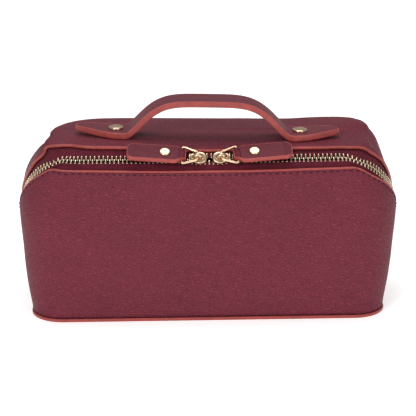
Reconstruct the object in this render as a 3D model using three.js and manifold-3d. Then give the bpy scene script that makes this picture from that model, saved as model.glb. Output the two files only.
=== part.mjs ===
// A zip-around travel jewellery case in two-tone leather: a tub with a fold-back lid, a metal zip with two
// sliders that meet at the middle, and a riveted strap handle. Millimetres, +Z up, front towards -Y.
// The origin is the centre of the base's underside.
import * as THREE from "three";
import { mergeVertices } from "three/addons/utils/BufferGeometryUtils.js";
import Module from "manifold-3d";

const wasm = await Module();
wasm.setup();

// ---- driving sizes ----
const caseWidth = 250; // at the belly, the widest level
const frontReach = 55; // from the origin to the belly's front
const rearReach = 53;
const caseHeight = 120; // to the crown, without the handle
const backDrop = 3.3; // how much lower the crown's rear is than its front

const leather = 1.8;
const tapeThickness = 0.8;
const foam = 2.2;
const lining = 0.8;
const plyGap = 0.6; // free space between two plies of the wall
const seatGap = 0.3; // free space between pieces that rest on each other

const basePlate = { thickness: 2.2, lip: 0.8 };
const boardThickness = 2;

const foldHeight = 30; // level of the rear fold that the lid turns on
const splitGap = 0.8; // free space between tub and lid along the fold
const seamInset = 8; // the tub's front and rear leathers meet this far round its rear corners
const seamGap = 0.4;

const zip = {
  drop: 7.6, // from the crown down to the chain's front stretch
  endHeight: 40, // level of the chain's two ends
  endInset: 4, // the chain stops this far in front of the rear corners
  endMargin: 3, // the tapes run this far past it
  turnStart: 13.5, // the chain runs straight this far round the front corners, then sweeps down
  turnSoftness: 6,
  sweep: 1.46, // above 1, the chain starts down steeply and levels out towards its end
  hiddenMargin: 7, // tape under the leather
  foamMargin: 2, // from the tape's hidden edge to the padding
  liningMargin: 1.2, // from the lid's leather edge to its lining
  frontLower: 10, // visible tape below the chain, in front
  sideLower: 4.6, // and on the sides
  lowerFrom: 5, // it narrows between these distances round the front corners
  lowerTo: 21,
  upper: 9.5, // visible tape above the chain
  middleDip: 3.6, // the lid's edge comes this much nearer at the middle
  dipReach: 105,
  bead: 3.3, // from the chain's middle to the back of a tooth, over the curve
  tapeStart: 5.2, // from the chain's middle to the cloth, which the bead hides
  toothTip: 0.8,
  toothPitch: 2.8,
  toothRoot: 2,
  toothThickness: 2.4,
  depth: 2.5, // the teeth's middle below the leather's face
  tapeSink: 0.15, // extra space between the leather and the tape
};

const slider = {
  length: 12,
  width: 9,
  tailWidth: 6.4,
  upperPlate: 1.2,
  lowerPlate: 1,
  play: 0.6, // over the teeth
  lowerPlay: 0.9,
  tailTaper: 1, // the wing starts to narrow this far behind its middle
  weld: 0.3, // its pieces run this far into each other
  post: 1,
  postLength: 5,
  postAhead: 1, // of the wing's middle
  bridgeSpan: 7.6,
  bridgeRise: 4.4,
  bridgeBar: 1.1,
  bridgeWidth: 2.2,
  fromMiddle: 7.7,
};

const pull = {
  wire: 1.5,
  ringLength: 10.5,
  ringInner: 6.4,
  ringOuter: 14.2,
  lift: 2.2, // the wire's middle above the leather's face
  tabLength: 38,
  tabWidth: 13.6,
  tabLeather: 1.5,
  tabPlyGap: 0.1,
  foldInset: 2.6, // the fold is narrower on each side, between the ring's arms
  shoulderFrom: 3.2, // the tab widens between these distances from its fold
  shoulderTo: 8,
  noseRadius: 4.6,
  skew: 5, // degrees that the pull leans up over the lid
  rivetRadius: 3,
  rivetShank: 1,
  rivetRim: 0.4,
  rivetHeight: 0.9,
  rivetBack: 0.5,
  rivetBackRadius: 2.4,
  rivetCrown: 2.1, // radius of the head's flat top
  rivetHole: 1.3,
  rivetFrom: 11, // from the ring's outer bar
};

const handle = {
  length: 174,
  gripWidth: 20.6,
  footWidth: 23.4,
  widening: 10, // from the grip's width to the foot's, before the strap reaches the lid
  ply: 1.8,
  centreY: -19,
  rise: 21.9,
  footInner: 55.5, // the strap leaves the lid here
  rivetAt: 60.7,
  tipFrom: 57, // the foot narrows to its tip from here
  tipWidth: 4,
  tipShape: 1.5, // 1 is a plain parabola, and more keeps the foot wide for longer
  holeRadius: 1.9,
};
const rivet = {
  headRadius: 5.1,
  headHeight: 1.5,
  headRim: 0.6,
  headBevel: 0.9,
  headLift: 0.25, // over the strap, which is not quite level here
  shank: 1.6,
  tail: 0.6, // the shank ends this far under the lining
  backRadius: 4.2,
  backHeight: 1,
  backGap: 1.2, // from the lining to the back plate
};

const divider = { at: 42, thickness: 6, height: 78, sideGap: 0.8 };
const endTab = { overChain: 4.5, pastChain: 9, thickness: 1.6, proud: 0.7, edgeGap: 0.9 };

// ---- the case's outer face ----
const halfWidth = caseWidth / 2;
const wallFoot = basePlate.thickness + seatGap;
const bellyHeight = caseHeight - 40;

// Level sections from the foot of the wall to the crown: rounded rectangles, given by how far their sides lie
// inside the belly's.
const inside = (z, side, front, rear, corner, rearCorner) => ({
  z,
  side: halfWidth - side,
  front: frontReach - front,
  rear: rearReach - rear,
  corner,
  rearCorner,
});
const crownPoint = { z: caseHeight, side: 0.5, front: 0.5, rear: 0.5, corner: 0.4, rearCorner: 0.4 };
const sections = [
  inside(wallFoot, 7.2, 6, 4, 21, 21),
  inside(wallFoot + 11.5, 5.2, 4.5, 3, 23, 23),
  inside(bellyHeight * 0.56, 2, 2, 1, 26, 26),
  inside(bellyHeight, 0, 0, 0, 28, 28),
  inside(caseHeight - 15.5, 8.6, 0.5, 2, 27, 35),
  inside(caseHeight - 7.5, 15.5, 7, 6.5, 26, 33),
  inside(caseHeight - 2, 22, 14, 14.5, 28, 30),
  inside(caseHeight - 0.4, 54, 27.5, 26.5, 22, 24),
  crownPoint,
];
const lastSection = sections.length - 1;
const keys = ["z", "side", "front", "rear", "corner", "rearCorner"];

const cornerShare = 0.999; // a corner never quite fills a side

// Catmull-Rom interpolation between the sections; level 0 is the foot and lastSection the crown.
function sectionAt(level) {
  const i = Math.min(Math.floor(level), lastSection - 1);
  const u = level - i;
  const out = {};
  for (const key of keys) {
    const p1 = sections[i][key];
    const p2 = sections[i + 1][key];
    const p0 = i > 0 ? sections[i - 1][key] : 2 * p1 - p2;
    const p3 = i + 2 <= lastSection ? sections[i + 2][key] : 2 * p2 - p1;
    out[key] =
      0.5 *
      (2 * p1 + (p2 - p0) * u + (2 * p0 - 5 * p1 + 4 * p2 - p3) * u * u + (3 * p1 - p0 - 3 * p2 + p3) * u ** 3);
  }
  const most = Math.min(out.side, (out.front + out.rear) / 2) * cornerShare;
  out.corner = Math.min(out.corner, most);
  out.rearCorner = Math.min(out.rearCorner, most);
  return out;
}

// Distance round the belly from the middle of the front, at the ends of its straights and corners.
const bellyLevel = 3;
const belly = sections[bellyLevel];
const frontHalf = belly.side - belly.corner;
const cornerArc = (Math.PI / 2) * belly.corner;
const frontCornerEnd = frontHalf + cornerArc;
const sideEnd = frontCornerEnd + belly.front + belly.rear - 2 * belly.corner;
const rearCornerEnd = sideEnd + cornerArc;
const rearMiddle = rearCornerEnd + frontHalf;

// The level of a section sinks towards the rear.
const rearwardDrop = (z, y) =>
  z - (backDrop * (z - wallFoot) * (y + frontReach)) / (caseHeight * (frontReach + rearReach));

// The outer face: `around` is measured round the belly, positive towards +X.
function facePoint(around, level) {
  let a = around;
  if (a > rearMiddle) a -= 2 * rearMiddle;
  if (a < -rearMiddle) a += 2 * rearMiddle;
  const hand = a < 0 ? -1 : 1;
  a = Math.abs(a);
  const s = sectionAt(THREE.MathUtils.clamp(level, 0, lastSection));
  const flat = s.side - s.corner;
  const rearFlat = s.side - s.rearCorner;
  let x, y;
  if (a < frontHalf) {
    x = (flat * a) / frontHalf;
    y = -s.front;
  } else if (a < frontCornerEnd) {
    const turn = ((a - frontHalf) / cornerArc) * (Math.PI / 2);
    x = flat + s.corner * Math.sin(turn);
    y = -s.front + s.corner * (1 - Math.cos(turn));
  } else if (a < sideEnd) {
    const share = (a - frontCornerEnd) / (sideEnd - frontCornerEnd);
    x = s.side;
    y = -s.front + s.corner + (s.front + s.rear - s.corner - s.rearCorner) * share;
  } else if (a < rearCornerEnd) {
    const turn = ((a - sideEnd) / cornerArc) * (Math.PI / 2);
    x = rearFlat + s.rearCorner * Math.cos(turn);
    y = s.rear - s.rearCorner * (1 - Math.sin(turn));
  } else {
    x = rearFlat * (1 - (a - rearCornerEnd) / frontHalf);
    y = s.rear;
  }
  return new THREE.Vector3(hand * x, y, rearwardDrop(s.z, y));
}

function faceNormal(around, level) {
  const step = 0.01;
  const low = Math.max(level - step, 0);
  const high = Math.min(level + step, lastSection - step);
  const along = facePoint(around + 0.3, level).sub(facePoint(around - 0.3, level));
  const up = facePoint(around, high).sub(facePoint(around, low));
  return along.cross(up).normalize();
}

// A point `depth` under the outer face.
function plyPoint(around, level, depth) {
  return facePoint(around, level).addScaledVector(faceNormal(around, level), -depth);
}

function levelAtHeight(around, z) {
  let low = 0;
  let high = lastSection;
  for (let i = 0; i < 40; i++) {
    const middle = (low + high) / 2;
    if (facePoint(around, middle).z < z) low = middle;
    else high = middle;
  }
  return (low + high) / 2;
}

// The level reached by going `distance` up the face from a level.
function levelAfter(around, level, distance) {
  const step = 0.02 * Math.sign(distance);
  let left = Math.abs(distance);
  let at = facePoint(around, level);
  while (left > 0 && level + step > 0 && level + step < lastSection) {
    const next = facePoint(around, level + step);
    const length = next.distanceTo(at);
    level += length < left ? step : (step * left) / length;
    left -= length;
    at = next;
  }
  return level;
}

const smooth = (low, high, x) => THREE.MathUtils.smoothstep(x, low, high);

// ---- the zip's line and the two leather edges beside it ----
const chainFront = caseHeight - zip.drop;
const chainTurn = frontHalf + zip.turnStart;
const chainEnd = sideEnd - zip.endInset;
const edgeMerge = 13; // the two edges close up over this distance past the chain's end

// How far the chain has gone from its turn to its end, from 0 to 1.
function fallShare(around) {
  const past = Math.min(Math.abs(around), chainEnd) - chainTurn;
  const soft = zip.turnSoftness;
  const eased = past > soft ? past : Math.max(past + soft, 0) ** 2 / (4 * soft);
  return eased / (chainEnd - chainTurn);
}

const chainHeight = (around) =>
  zip.endHeight + (chainFront - zip.endHeight) * (1 - fallShare(around)) ** zip.sweep;
const chainLevel = (around) => levelAtHeight(around, chainHeight(around));
const chainSlope = (around) => chainHeight(Math.abs(around) - 0.5) - chainHeight(Math.abs(around) + 0.5);
const chainSlant = (around) => Math.hypot(1, chainSlope(around));

const foldShare = (around) => smooth(chainEnd, chainEnd + edgeMerge, Math.abs(around));

function tubEdge(around) {
  const visible = THREE.MathUtils.lerp(
    zip.frontLower,
    zip.sideLower,
    smooth(frontHalf + zip.lowerFrom, frontHalf + zip.lowerTo, Math.abs(around)),
  );
  const open = levelAfter(around, chainLevel(around), -visible * chainSlant(around));
  const fold = levelAtHeight(around, foldHeight - splitGap / 2);
  return THREE.MathUtils.lerp(open, fold, foldShare(around));
}

function lidEdge(around) {
  const bow = Math.cos((Math.min(Math.abs(around), zip.dipReach) / zip.dipReach) * (Math.PI / 2)) ** 2;
  const visible = zip.upper - zip.middleDip * bow;
  const open = levelAfter(around, chainLevel(around), visible * chainSlant(around));
  const fold = levelAtHeight(around, foldHeight + splitGap / 2);
  return THREE.MathUtils.lerp(open, fold, foldShare(around));
}

// ---- closed solids ----
function geometryOf(points, faces) {
  const geometry = new THREE.BufferGeometry();
  geometry.setAttribute("position", new THREE.Float32BufferAttribute(points.flatMap((p) => p.toArray()), 3));
  geometry.setIndex(faces.flat());
  let volume = 0;
  for (const [a, b, c] of faces) volume += points[a].dot(points[b].clone().cross(points[c]));
  if (volume < 0) geometry.setIndex(faces.flatMap(([a, b, c]) => [a, c, b]));
  return geometry;
}

// A ply between two depths: columns run round the case and rows up it. `bottom` and `top` give its edges as
// levels, and rows beyond them close up on them. A ring closes on itself, and a crowned ply is closed over the
// crown.
function plyGeometry({ columns, levels = rowLevels, bottom, top, outer, inner, ring = false, crowned = false }) {
  const points = [];
  const faces = [];
  const wide = columns.length;
  const tall = levels.length;
  const rows = tall - 1;
  for (const depth of [outer, inner]) {
    for (const around of columns) {
      const low = bottom(around);
      const high = top(around);
      for (const level of levels) {
        const near = level < low + rowSnap ? low : level > high - rowSnap ? high : level;
        points.push(plyPoint(around, near, depth));
      }
    }
  }
  const at = (skin, i, j) => (skin * wide + (i % wide)) * tall + j;
  const quad = (a, b, c, d) => faces.push([a, b, c], [a, c, d]);
  const spans = ring ? wide : wide - 1;
  for (let i = 0; i < spans; i++) {
    for (let j = 0; j < rows; j++) {
      quad(at(0, i, j), at(0, i + 1, j), at(0, i + 1, j + 1), at(0, i, j + 1));
      quad(at(1, i, j), at(1, i, j + 1), at(1, i + 1, j + 1), at(1, i + 1, j));
    }
    quad(at(0, i, 0), at(1, i, 0), at(1, i + 1, 0), at(0, i + 1, 0));
    if (!crowned) quad(at(0, i, rows), at(0, i + 1, rows), at(1, i + 1, rows), at(1, i, rows));
  }
  if (!ring) {
    for (let j = 0; j < rows; j++) {
      quad(at(0, 0, j), at(0, 0, j + 1), at(1, 0, j + 1), at(1, 0, j));
      quad(at(0, wide - 1, j), at(1, wide - 1, j), at(1, wide - 1, j + 1), at(0, wide - 1, j + 1));
    }
  }
  if (crowned) {
    const crown = facePoint(0, lastSection);
    const peaks = [outer, inner].map((depth) => points.push(new THREE.Vector3(0, 0, crown.z - depth)) - 1);
    for (let i = 0; i < spans; i++) {
      faces.push([at(0, i, rows), at(0, i + 1, rows), peaks[0]]);
      faces.push([at(1, i, rows), peaks[1], at(1, i + 1, rows)]);
    }
  }
  return geometryOf(points, faces.filter(hasArea(points)));
}

const hasArea =
  (points) =>
  ([a, b, c]) =>
    !points[a].equals(points[b]) && !points[b].equals(points[c]) && !points[c].equals(points[a]);

// A bar through four-cornered stations.
function barGeometry(stations) {
  const faces = [];
  const last = stations.length - 1;
  const quad = (a, b, c, d) => faces.push([a, b, c], [a, c, d]);
  for (let i = 0; i < last; i++) {
    for (let k = 0; k < 4; k++) {
      const n = (k + 1) % 4;
      quad(4 * i + k, 4 * i + n, 4 * i + 4 + n, 4 * i + 4 + k);
    }
  }
  quad(3, 2, 1, 0);
  quad(4 * last, 4 * last + 1, 4 * last + 2, 4 * last + 3);
  return geometryOf(stations.flat(), faces);
}

function solidOf(geometry) {
  const bare = geometry.index ? geometry.toNonIndexed() : geometry.clone();
  for (const name of Object.keys(bare.attributes)) if (name !== "position") bare.deleteAttribute(name);
  const merged = mergeVertices(bare, 1e-4);
  return new wasm.Manifold(
    new wasm.Mesh({
      numProp: 3,
      vertProperties: new Float32Array(merged.attributes.position.array),
      triVerts: new Uint32Array(merged.index.array),
    }),
  );
}

function geometryFrom(solid) {
  const mesh = solid.getMesh();
  const geometry = new THREE.BufferGeometry();
  const places = new Float32Array(mesh.numVert * 3);
  for (let i = 0; i < mesh.numVert; i++) {
    places.set(mesh.vertProperties.subarray(i * mesh.numProp, i * mesh.numProp + 3), i * 3);
  }
  geometry.setAttribute("position", new THREE.BufferAttribute(places, 3));
  geometry.setIndex(new THREE.BufferAttribute(mesh.triVerts, 1));
  return geometry;
}

const cut = (geometry, ...tools) =>
  geometryFrom(tools.reduce((left, tool) => left.subtract(solidOf(tool)), solidOf(geometry)));
const join = (...geometries) => geometryFrom(geometries.map(solidOf).reduce((a, b) => a.add(b)));

// ---- materials ----
const finish = (color, roughness, metalness = 0) => new THREE.MeshStandardMaterial({ color, roughness, metalness });
const wineLeather = finish(0x6e2a38, 0.55);
const wineCloth = finish(0x591c30, 0.85);
const liningCloth = finish(0xc9b49a, 0.9);
const foamGrey = finish(0xd8d3cb, 0.95);
const board = finish(0xb59a72, 0.9);
const paleGold = finish(0xd9b886, 0.28, 1);

const tub = new THREE.Group();
const lid = new THREE.Group();
function add(group, name, geometry, material) {
  const mesh = new THREE.Mesh(geometry, material);
  mesh.name = name;
  group.add(mesh);
  return mesh;
}

// ---- rows and columns shared by every ply, so that their facets stay parallel ----
const rowLevels = [0, 1, 1.6, 2.2, 2.6, 3, 3.35, 3.7, 4.1, 4.5, 4.9, 5.4, 6, 6.7, lastSection - 0.5];
const softLevels = rowLevels.filter((level, i) => i < 2 || i % 2 === 1 || level > bellyLevel); // inner plies
const rowSnap = 0.12; // a row this near to an edge gives way to it
const steps = (from, to, count) => Array.from({ length: count }, (_, i) => THREE.MathUtils.lerp(from, to, i / count));
const seamAt = sideEnd + seamInset; // the tub's front and rear leathers meet here
const halfRing = [
  ...steps(0, frontHalf, 6),
  ...steps(frontHalf, frontCornerEnd, 6),
  ...steps(frontCornerEnd, chainEnd, 4),
  ...steps(chainEnd, seamAt, 3),
  ...steps(seamAt, rearCornerEnd, 4),
  ...steps(rearCornerEnd, rearMiddle, 2),
];
const mirrored = (half) => [...half.filter((a) => a > 0).reverse().map((a) => -a), ...half];
const wholeRing = [...mirrored(halfRing), rearMiddle];
const columnSnap = 0.5; // a column this near to an end gives way to it
const between = (list, low, high) => [
  low,
  ...list.filter((a) => a > low + columnSnap && a < high - columnSnap),
  high,
];

// ---- tub ----
function baseOutline(inset) {
  const s = sections[0];
  const side = s.side - inset;
  const front = s.front - inset;
  const rear = s.rear - inset;
  const r = s.corner - inset;
  const shape = new THREE.Shape();
  shape.absarc(side - r, -front + r, r, -Math.PI / 2, 0);
  shape.absarc(side - r, rear - r, r, 0, Math.PI / 2);
  shape.absarc(-side + r, rear - r, r, Math.PI / 2, Math.PI);
  shape.absarc(-side + r, -front + r, r, Math.PI, 1.5 * Math.PI);
  return shape;
}

function plate(inset, from, thickness) {
  const geometry = new THREE.ExtrudeGeometry(baseOutline(inset), {
    depth: thickness,
    bevelEnabled: false,
    curveSegments: 6,
  });
  return geometry.translate(0, 0, from);
}

const foamDepth = leather + plyGap;
const liningDepth = foamDepth + foam + plyGap;
const wallDepth = liningDepth + lining;
const boardTop = wallFoot + boardThickness;
const innerFoot = boardTop + seatGap;
const foot = () => 0;
const innerFootLevel = (around) => levelAtHeight(around, innerFoot);
const frontColumns = between(mirrored(halfRing), -seamAt + seamGap / 2, seamAt - seamGap / 2);
const rearHalf = halfRing.filter((a) => a > seamAt + columnSnap);
const rearColumns = [
  seamAt + seamGap / 2,
  ...rearHalf,
  rearMiddle,
  ...[...rearHalf].reverse().map((a) => 2 * rearMiddle - a),
  2 * rearMiddle - seamAt - seamGap / 2,
];

function buildTub() {
  add(tub, "base_panel", plate(-basePlate.lip, 0, basePlate.thickness), wineLeather);
  add(tub, "base_board", plate(leather + plyGap, wallFoot, boardThickness), board);
  add(tub, "base_lining", plate(wallDepth + plyGap, innerFoot, lining), liningCloth);

  const frontLeather = plyGeometry({
    columns: frontColumns,
    bottom: foot,
    top: tubEdge,
    outer: 0,
    inner: leather,
  });
  add(tub, "front_panel", frontLeather, wineLeather);
  const rearLeather = plyGeometry({
    columns: rearColumns,
    bottom: foot,
    top: tubEdge,
    outer: 0,
    inner: leather,
  });
  add(tub, "rear_panel", rearLeather, wineLeather);

  const underTape = (around) => levelAfter(around, tubEdge(around), -zip.hiddenMargin - zip.foamMargin);
  const frontFoam = plyGeometry({
    columns: between(frontColumns, -chainEnd, chainEnd),
    levels: softLevels,
    bottom: innerFootLevel,
    top: underTape,
    outer: foamDepth,
    inner: foamDepth + foam,
  });
  add(tub, "front_foam", frontFoam, foamGrey);
  const rearFoam = plyGeometry({
    columns: rearColumns,
    levels: softLevels,
    bottom: innerFootLevel,
    top: tubEdge,
    outer: foamDepth,
    inner: foamDepth + foam,
  });
  add(tub, "rear_foam", rearFoam, foamGrey);

  const tubLining = plyGeometry({
    columns: wholeRing.slice(0, -1),
    levels: softLevels,
    bottom: innerFootLevel,
    top: tubEdge,
    outer: liningDepth,
    inner: wallDepth,
    ring: true,
  });
  add(tub, "tub_lining", tubLining, liningCloth);
  add(tub, "divider", dividerGeometry(), liningCloth);
}

// The padded divider follows the lining's front and rear faces.
function dividerGeometry() {
  const bottom = innerFoot + lining + seatGap;
  const heights = [...steps(bottom, divider.height, 3), divider.height];
  const reach = wallDepth + divider.sideGap;
  const edgeY = (around, z) => plyPoint(around, levelAtHeight(around, z), reach).y;
  const outline = new THREE.Shape([
    ...heights.map((z) => new THREE.Vector2(edgeY(divider.at, z), z)),
    ...[...heights].reverse().map((z) => new THREE.Vector2(edgeY(rearMiddle - divider.at, z), z)),
  ]);
  const geometry = new THREE.ExtrudeGeometry(outline, { depth: divider.thickness, bevelEnabled: false });
  geometry.applyMatrix4(
    new THREE.Matrix4().makeBasis(
      new THREE.Vector3(0, 1, 0),
      new THREE.Vector3(0, 0, 1),
      new THREE.Vector3(1, 0, 0),
    ),
  );
  return geometry.translate(divider.at - divider.thickness / 2, 0, 0);
}

// ---- zip tapes, teeth and end tabs ----
const tapeOuter = leather + plyGap + zip.tapeSink;
const zipEnd = chainEnd + zip.endMargin;
const zipColumns = between(mirrored(halfRing), -zipEnd, zipEnd);

// A point beside the chain: `across` towards the lid and `depth` under the leather's face.
function chainPoint(around, across, depth) {
  const at = facePoint(around, chainLevel(around));
  const step = 0.5;
  const along = facePoint(around + step, chainLevel(around + step))
    .sub(facePoint(around - step, chainLevel(around - step)))
    .normalize();
  const normal = faceNormal(around, chainLevel(around));
  const side = normal.clone().cross(along).normalize();
  return at.addScaledVector(side, across).addScaledVector(normal, -depth);
}

// The place on the face at a distance square to the chain, as [around, level].
function besideChain(around, across) {
  const slant = chainSlant(around);
  const beside = around + (across * chainSlope(around) * Math.sign(around)) / slant;
  return [beside, levelAfter(beside, levelAtHeight(beside, chainHeight(around)), across / slant)];
}

// One row of teeth on its beaded tape edge: a comb whose tips reach towards the other row. The rows are half
// a pitch apart.
function teethRow(hand) {
  const high = zip.depth - zip.toothThickness / 2;
  const low = zip.depth + zip.toothThickness / 2;
  const teeth = 2 * Math.floor(chainEnd / zip.toothPitch);
  const stations = [];
  for (let i = -teeth; i <= teeth; i++) {
    const around = (i * zip.toothPitch) / 2;
    const isTip = (i % 2 === 0) === hand > 0;
    const front = hand * (isTip ? zip.toothTip : zip.toothRoot);
    const behind = besideChain(around, hand * zip.bead);
    stations.push([
      chainPoint(around, front, high),
      plyPoint(...behind, high),
      plyPoint(...behind, low),
      chainPoint(around, front, low),
    ]);
  }
  return barGeometry(stations);
}

function tapeGeometry(hand) {
  const chainSide = (around) => levelAfter(around, chainLevel(around), hand * zip.tapeStart * chainSlant(around));
  const hidden = (around) =>
    levelAfter(around, hand > 0 ? lidEdge(around) : tubEdge(around), hand * zip.hiddenMargin);
  return plyGeometry({
    columns: zipColumns,
    bottom: hand > 0 ? chainSide : hidden,
    top: hand > 0 ? hidden : chainSide,
    outer: tapeOuter,
    inner: tapeOuter + tapeThickness,
  });
}

// A leather gusset that caps the chain's end and fills the wedge where the two edges close up.
function endTabGeometry(hand) {
  const reach = between(halfRing, chainEnd - endTab.overChain, chainEnd + endTab.pastChain);
  const columns = reach.map((a) => hand * a);
  if (hand < 0) columns.reverse();
  return plyGeometry({
    columns,
    bottom: (around) => levelAfter(around, tubEdge(around), endTab.edgeGap),
    top: (around) => levelAfter(around, lidEdge(around), -endTab.edgeGap),
    outer: -endTab.proud,
    inner: endTab.thickness - endTab.proud,
  });
}

function buildZip() {
  add(tub, "zip_tape_tub", tapeGeometry(-1), wineCloth);
  add(lid, "zip_tape_lid", tapeGeometry(1), wineCloth);
  add(tub, "zip_teeth_tub", teethRow(-1), paleGold);
  add(lid, "zip_teeth_lid", teethRow(1), paleGold);
  add(tub, "zip_end_tab_left", endTabGeometry(-1), wineLeather);
  add(tub, "zip_end_tab_right", endTabGeometry(1), wineLeather);
}

// ---- sliders and pulls, each in a group that lies on the zip's slope ----
const chainMiddle = chainPoint(0, 0, 0);
const zipLean = (() => {
  const normal = faceNormal(0, chainLevel(0));
  return Math.atan2(-normal.y, normal.z);
})();

function slab(outline, from, thickness) {
  const geometry = new THREE.ExtrudeGeometry(outline, {
    depth: thickness,
    bevelEnabled: false,
    curveSegments: 5,
  });
  return geometry.translate(0, 0, from);
}

// The wing's outline: a rounded mouth towards +X that narrows to the tail.
function wingOutline() {
  const half = slider.length / 2;
  const mouth = slider.width / 2;
  const tail = slider.tailWidth / 2;
  const shape = new THREE.Shape();
  shape.moveTo(-half, -tail);
  shape.quadraticCurveTo(-slider.tailTaper, -tail, 0, -mouth);
  shape.quadraticCurveTo(half, -mouth, half, 0);
  shape.quadraticCurveTo(half, mouth, 0, mouth);
  shape.quadraticCurveTo(-slider.tailTaper, tail, -half, tail);
  return shape;
}

const archControl = 1.3; // an arch's control points stand this much higher than its top

function sliderGeometry() {
  const upperUnder = -(zip.depth - zip.toothThickness / 2 - slider.play);
  const lowerTop = -(zip.depth + zip.toothThickness / 2 + slider.lowerPlay);
  const upper = slab(wingOutline(), upperUnder, slider.upperPlate);
  const lower = slab(wingOutline(), lowerTop - slider.lowerPlate, slider.lowerPlate);
  const { weld } = slider;
  const post = new THREE.BoxGeometry(slider.postLength, slider.post, upperUnder - lowerTop + 2 * weld);
  post.translate(slider.postAhead, 0, (upperUnder + lowerTop) / 2);
  const top = upperUnder + slider.upperPlate;
  const half = slider.bridgeSpan / 2;
  const inner = half - slider.bridgeBar;
  const rise = slider.bridgeRise * archControl;
  const innerRise = rise - slider.bridgeBar * archControl;
  const arch = new THREE.Shape();
  arch.moveTo(-half, -weld);
  arch.bezierCurveTo(-half, rise, half, rise, half, -weld);
  arch.lineTo(inner, -weld);
  arch.bezierCurveTo(inner, innerRise, -inner, innerRise, -inner, -weld);
  const bridge = new THREE.ExtrudeGeometry(arch, {
    depth: slider.bridgeWidth,
    bevelEnabled: false,
    curveSegments: 10,
  });
  bridge.rotateX(Math.PI / 2).translate(0, slider.bridgeWidth / 2, top);
  return join(upper, lower, post, bridge);
}

// The pull's wire ring: a narrow bar in the slider's bridge, two arms and a wide bar in the tab. It runs
// towards -X from the turning axis.
function ringGeometry() {
  const inner = pull.ringInner / 2;
  const outer = pull.ringOuter / 2;
  const path = new THREE.CurvePath();
  const corners = [
    [0, -inner],
    [0, inner],
    [-pull.ringLength, outer],
    [-pull.ringLength, -outer],
  ].map(([x, y]) => new THREE.Vector3(x, y, 0));
  const rounding = 0.16;
  const spots = corners.flatMap((corner, i) => {
    const before = corners[(i + 3) % 4];
    const after = corners[(i + 1) % 4];
    return [corner.clone().lerp(before, rounding), corner, corner.clone().lerp(after, rounding)];
  });
  for (let i = 0; i < 4; i++) {
    const next = spots[(3 * i + 3) % 12];
    path.add(new THREE.QuadraticBezierCurve3(spots[3 * i], spots[3 * i + 1], spots[3 * i + 2]));
    path.add(new THREE.LineCurve3(spots[3 * i + 2], next));
  }
  const around = path.getSpacedPoints(40).slice(0, -1);
  const loop = new THREE.CatmullRomCurve3(around, true, "centripetal");
  return closedTube(loop, 36, pull.wire / 2, 6);
}

// A tube along a flat closed curve.
function closedTube(curve, count, radius, sides) {
  const points = [];
  const faces = [];
  for (let i = 0; i < count; i++) {
    const at = curve.getPointAt(i / count);
    const along = curve.getTangentAt(i / count);
    const out = new THREE.Vector3(along.y, -along.x, 0).normalize();
    for (let k = 0; k < sides; k++) {
      const turn = (2 * Math.PI * k) / sides;
      points.push(
        at
          .clone()
          .addScaledVector(out, radius * Math.cos(turn))
          .add(new THREE.Vector3(0, 0, radius * Math.sin(turn))),
      );
    }
  }
  for (let i = 0; i < count; i++) {
    for (let k = 0; k < sides; k++) {
      const a = i * sides + k;
      const b = i * sides + ((k + 1) % sides);
      const c = ((i + 1) % count) * sides + ((k + 1) % sides);
      const d = ((i + 1) % count) * sides + k;
      faces.push([a, b, c], [a, c, d]);
    }
  }
  return geometryOf(points, faces);
}

const tabHalf = pull.tabLeather + pull.tabPlyGap / 2; // half the folded tab's thickness
const ringClear = pull.wire / 2 + seatGap;

// The leather tab: one strip folded round the ring's wide bar, its two plies riveted together.
function tabGeometry() {
  const start = -pull.ringLength + ringClear + pull.tabLeather;
  const end = start - pull.tabLength;
  const half = pull.tabWidth / 2;
  const nose = pull.noseRadius;
  const waist = half - pull.foldInset;
  const neck = start - pull.shoulderFrom;
  const shoulder = start - pull.shoulderTo;
  const bend = (neck + shoulder) / 2;
  const shape = new THREE.Shape();
  shape.moveTo(start, -waist);
  shape.lineTo(start, waist);
  shape.lineTo(neck, waist);
  shape.quadraticCurveTo(bend, half, shoulder, half);
  shape.lineTo(end + nose, half);
  shape.quadraticCurveTo(end, half, end, half - nose);
  shape.lineTo(end, -half + nose);
  shape.quadraticCurveTo(end, -half, end + nose, -half);
  shape.lineTo(shoulder, -half);
  shape.quadraticCurveTo(bend, -half, neck, -waist);
  const flat = slab(shape, -tabHalf, 2 * tabHalf);
  const swell = new THREE.CylinderGeometry(ringClear + pull.tabLeather, ringClear + pull.tabLeather, 2 * waist, 20);
  swell.translate(-pull.ringLength, 0, 0);
  const bore = new THREE.CylinderGeometry(ringClear, ringClear, 2 * half, 16).translate(-pull.ringLength, 0, 0);
  const hole = new THREE.CylinderGeometry(pull.rivetHole, pull.rivetHole, 8 * tabHalf, 12);
  hole.rotateX(Math.PI / 2).translate(-pull.ringLength - pull.rivetFrom, 0, 0);
  return cut(join(flat, swell), bore, hole);
}

function tabRivetGeometry() {
  const face = tabHalf + seatGap;
  const profile = [
    [0, -face - pull.rivetBack],
    [pull.rivetBackRadius, -face - pull.rivetBack],
    [pull.rivetBackRadius, -face],
    [pull.rivetShank, -face],
    [pull.rivetShank, face],
    [pull.rivetRadius, face],
    [pull.rivetRadius, face + pull.rivetRim],
    [pull.rivetCrown, face + pull.rivetHeight],
    [0, face + pull.rivetHeight],
  ].map(([r, z]) => new THREE.Vector2(r, z));
  const geometry = new THREE.LatheGeometry(profile, 16).rotateX(Math.PI / 2);
  return geometry.translate(-pull.ringLength - pull.rivetFrom, 0, 0);
}

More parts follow.
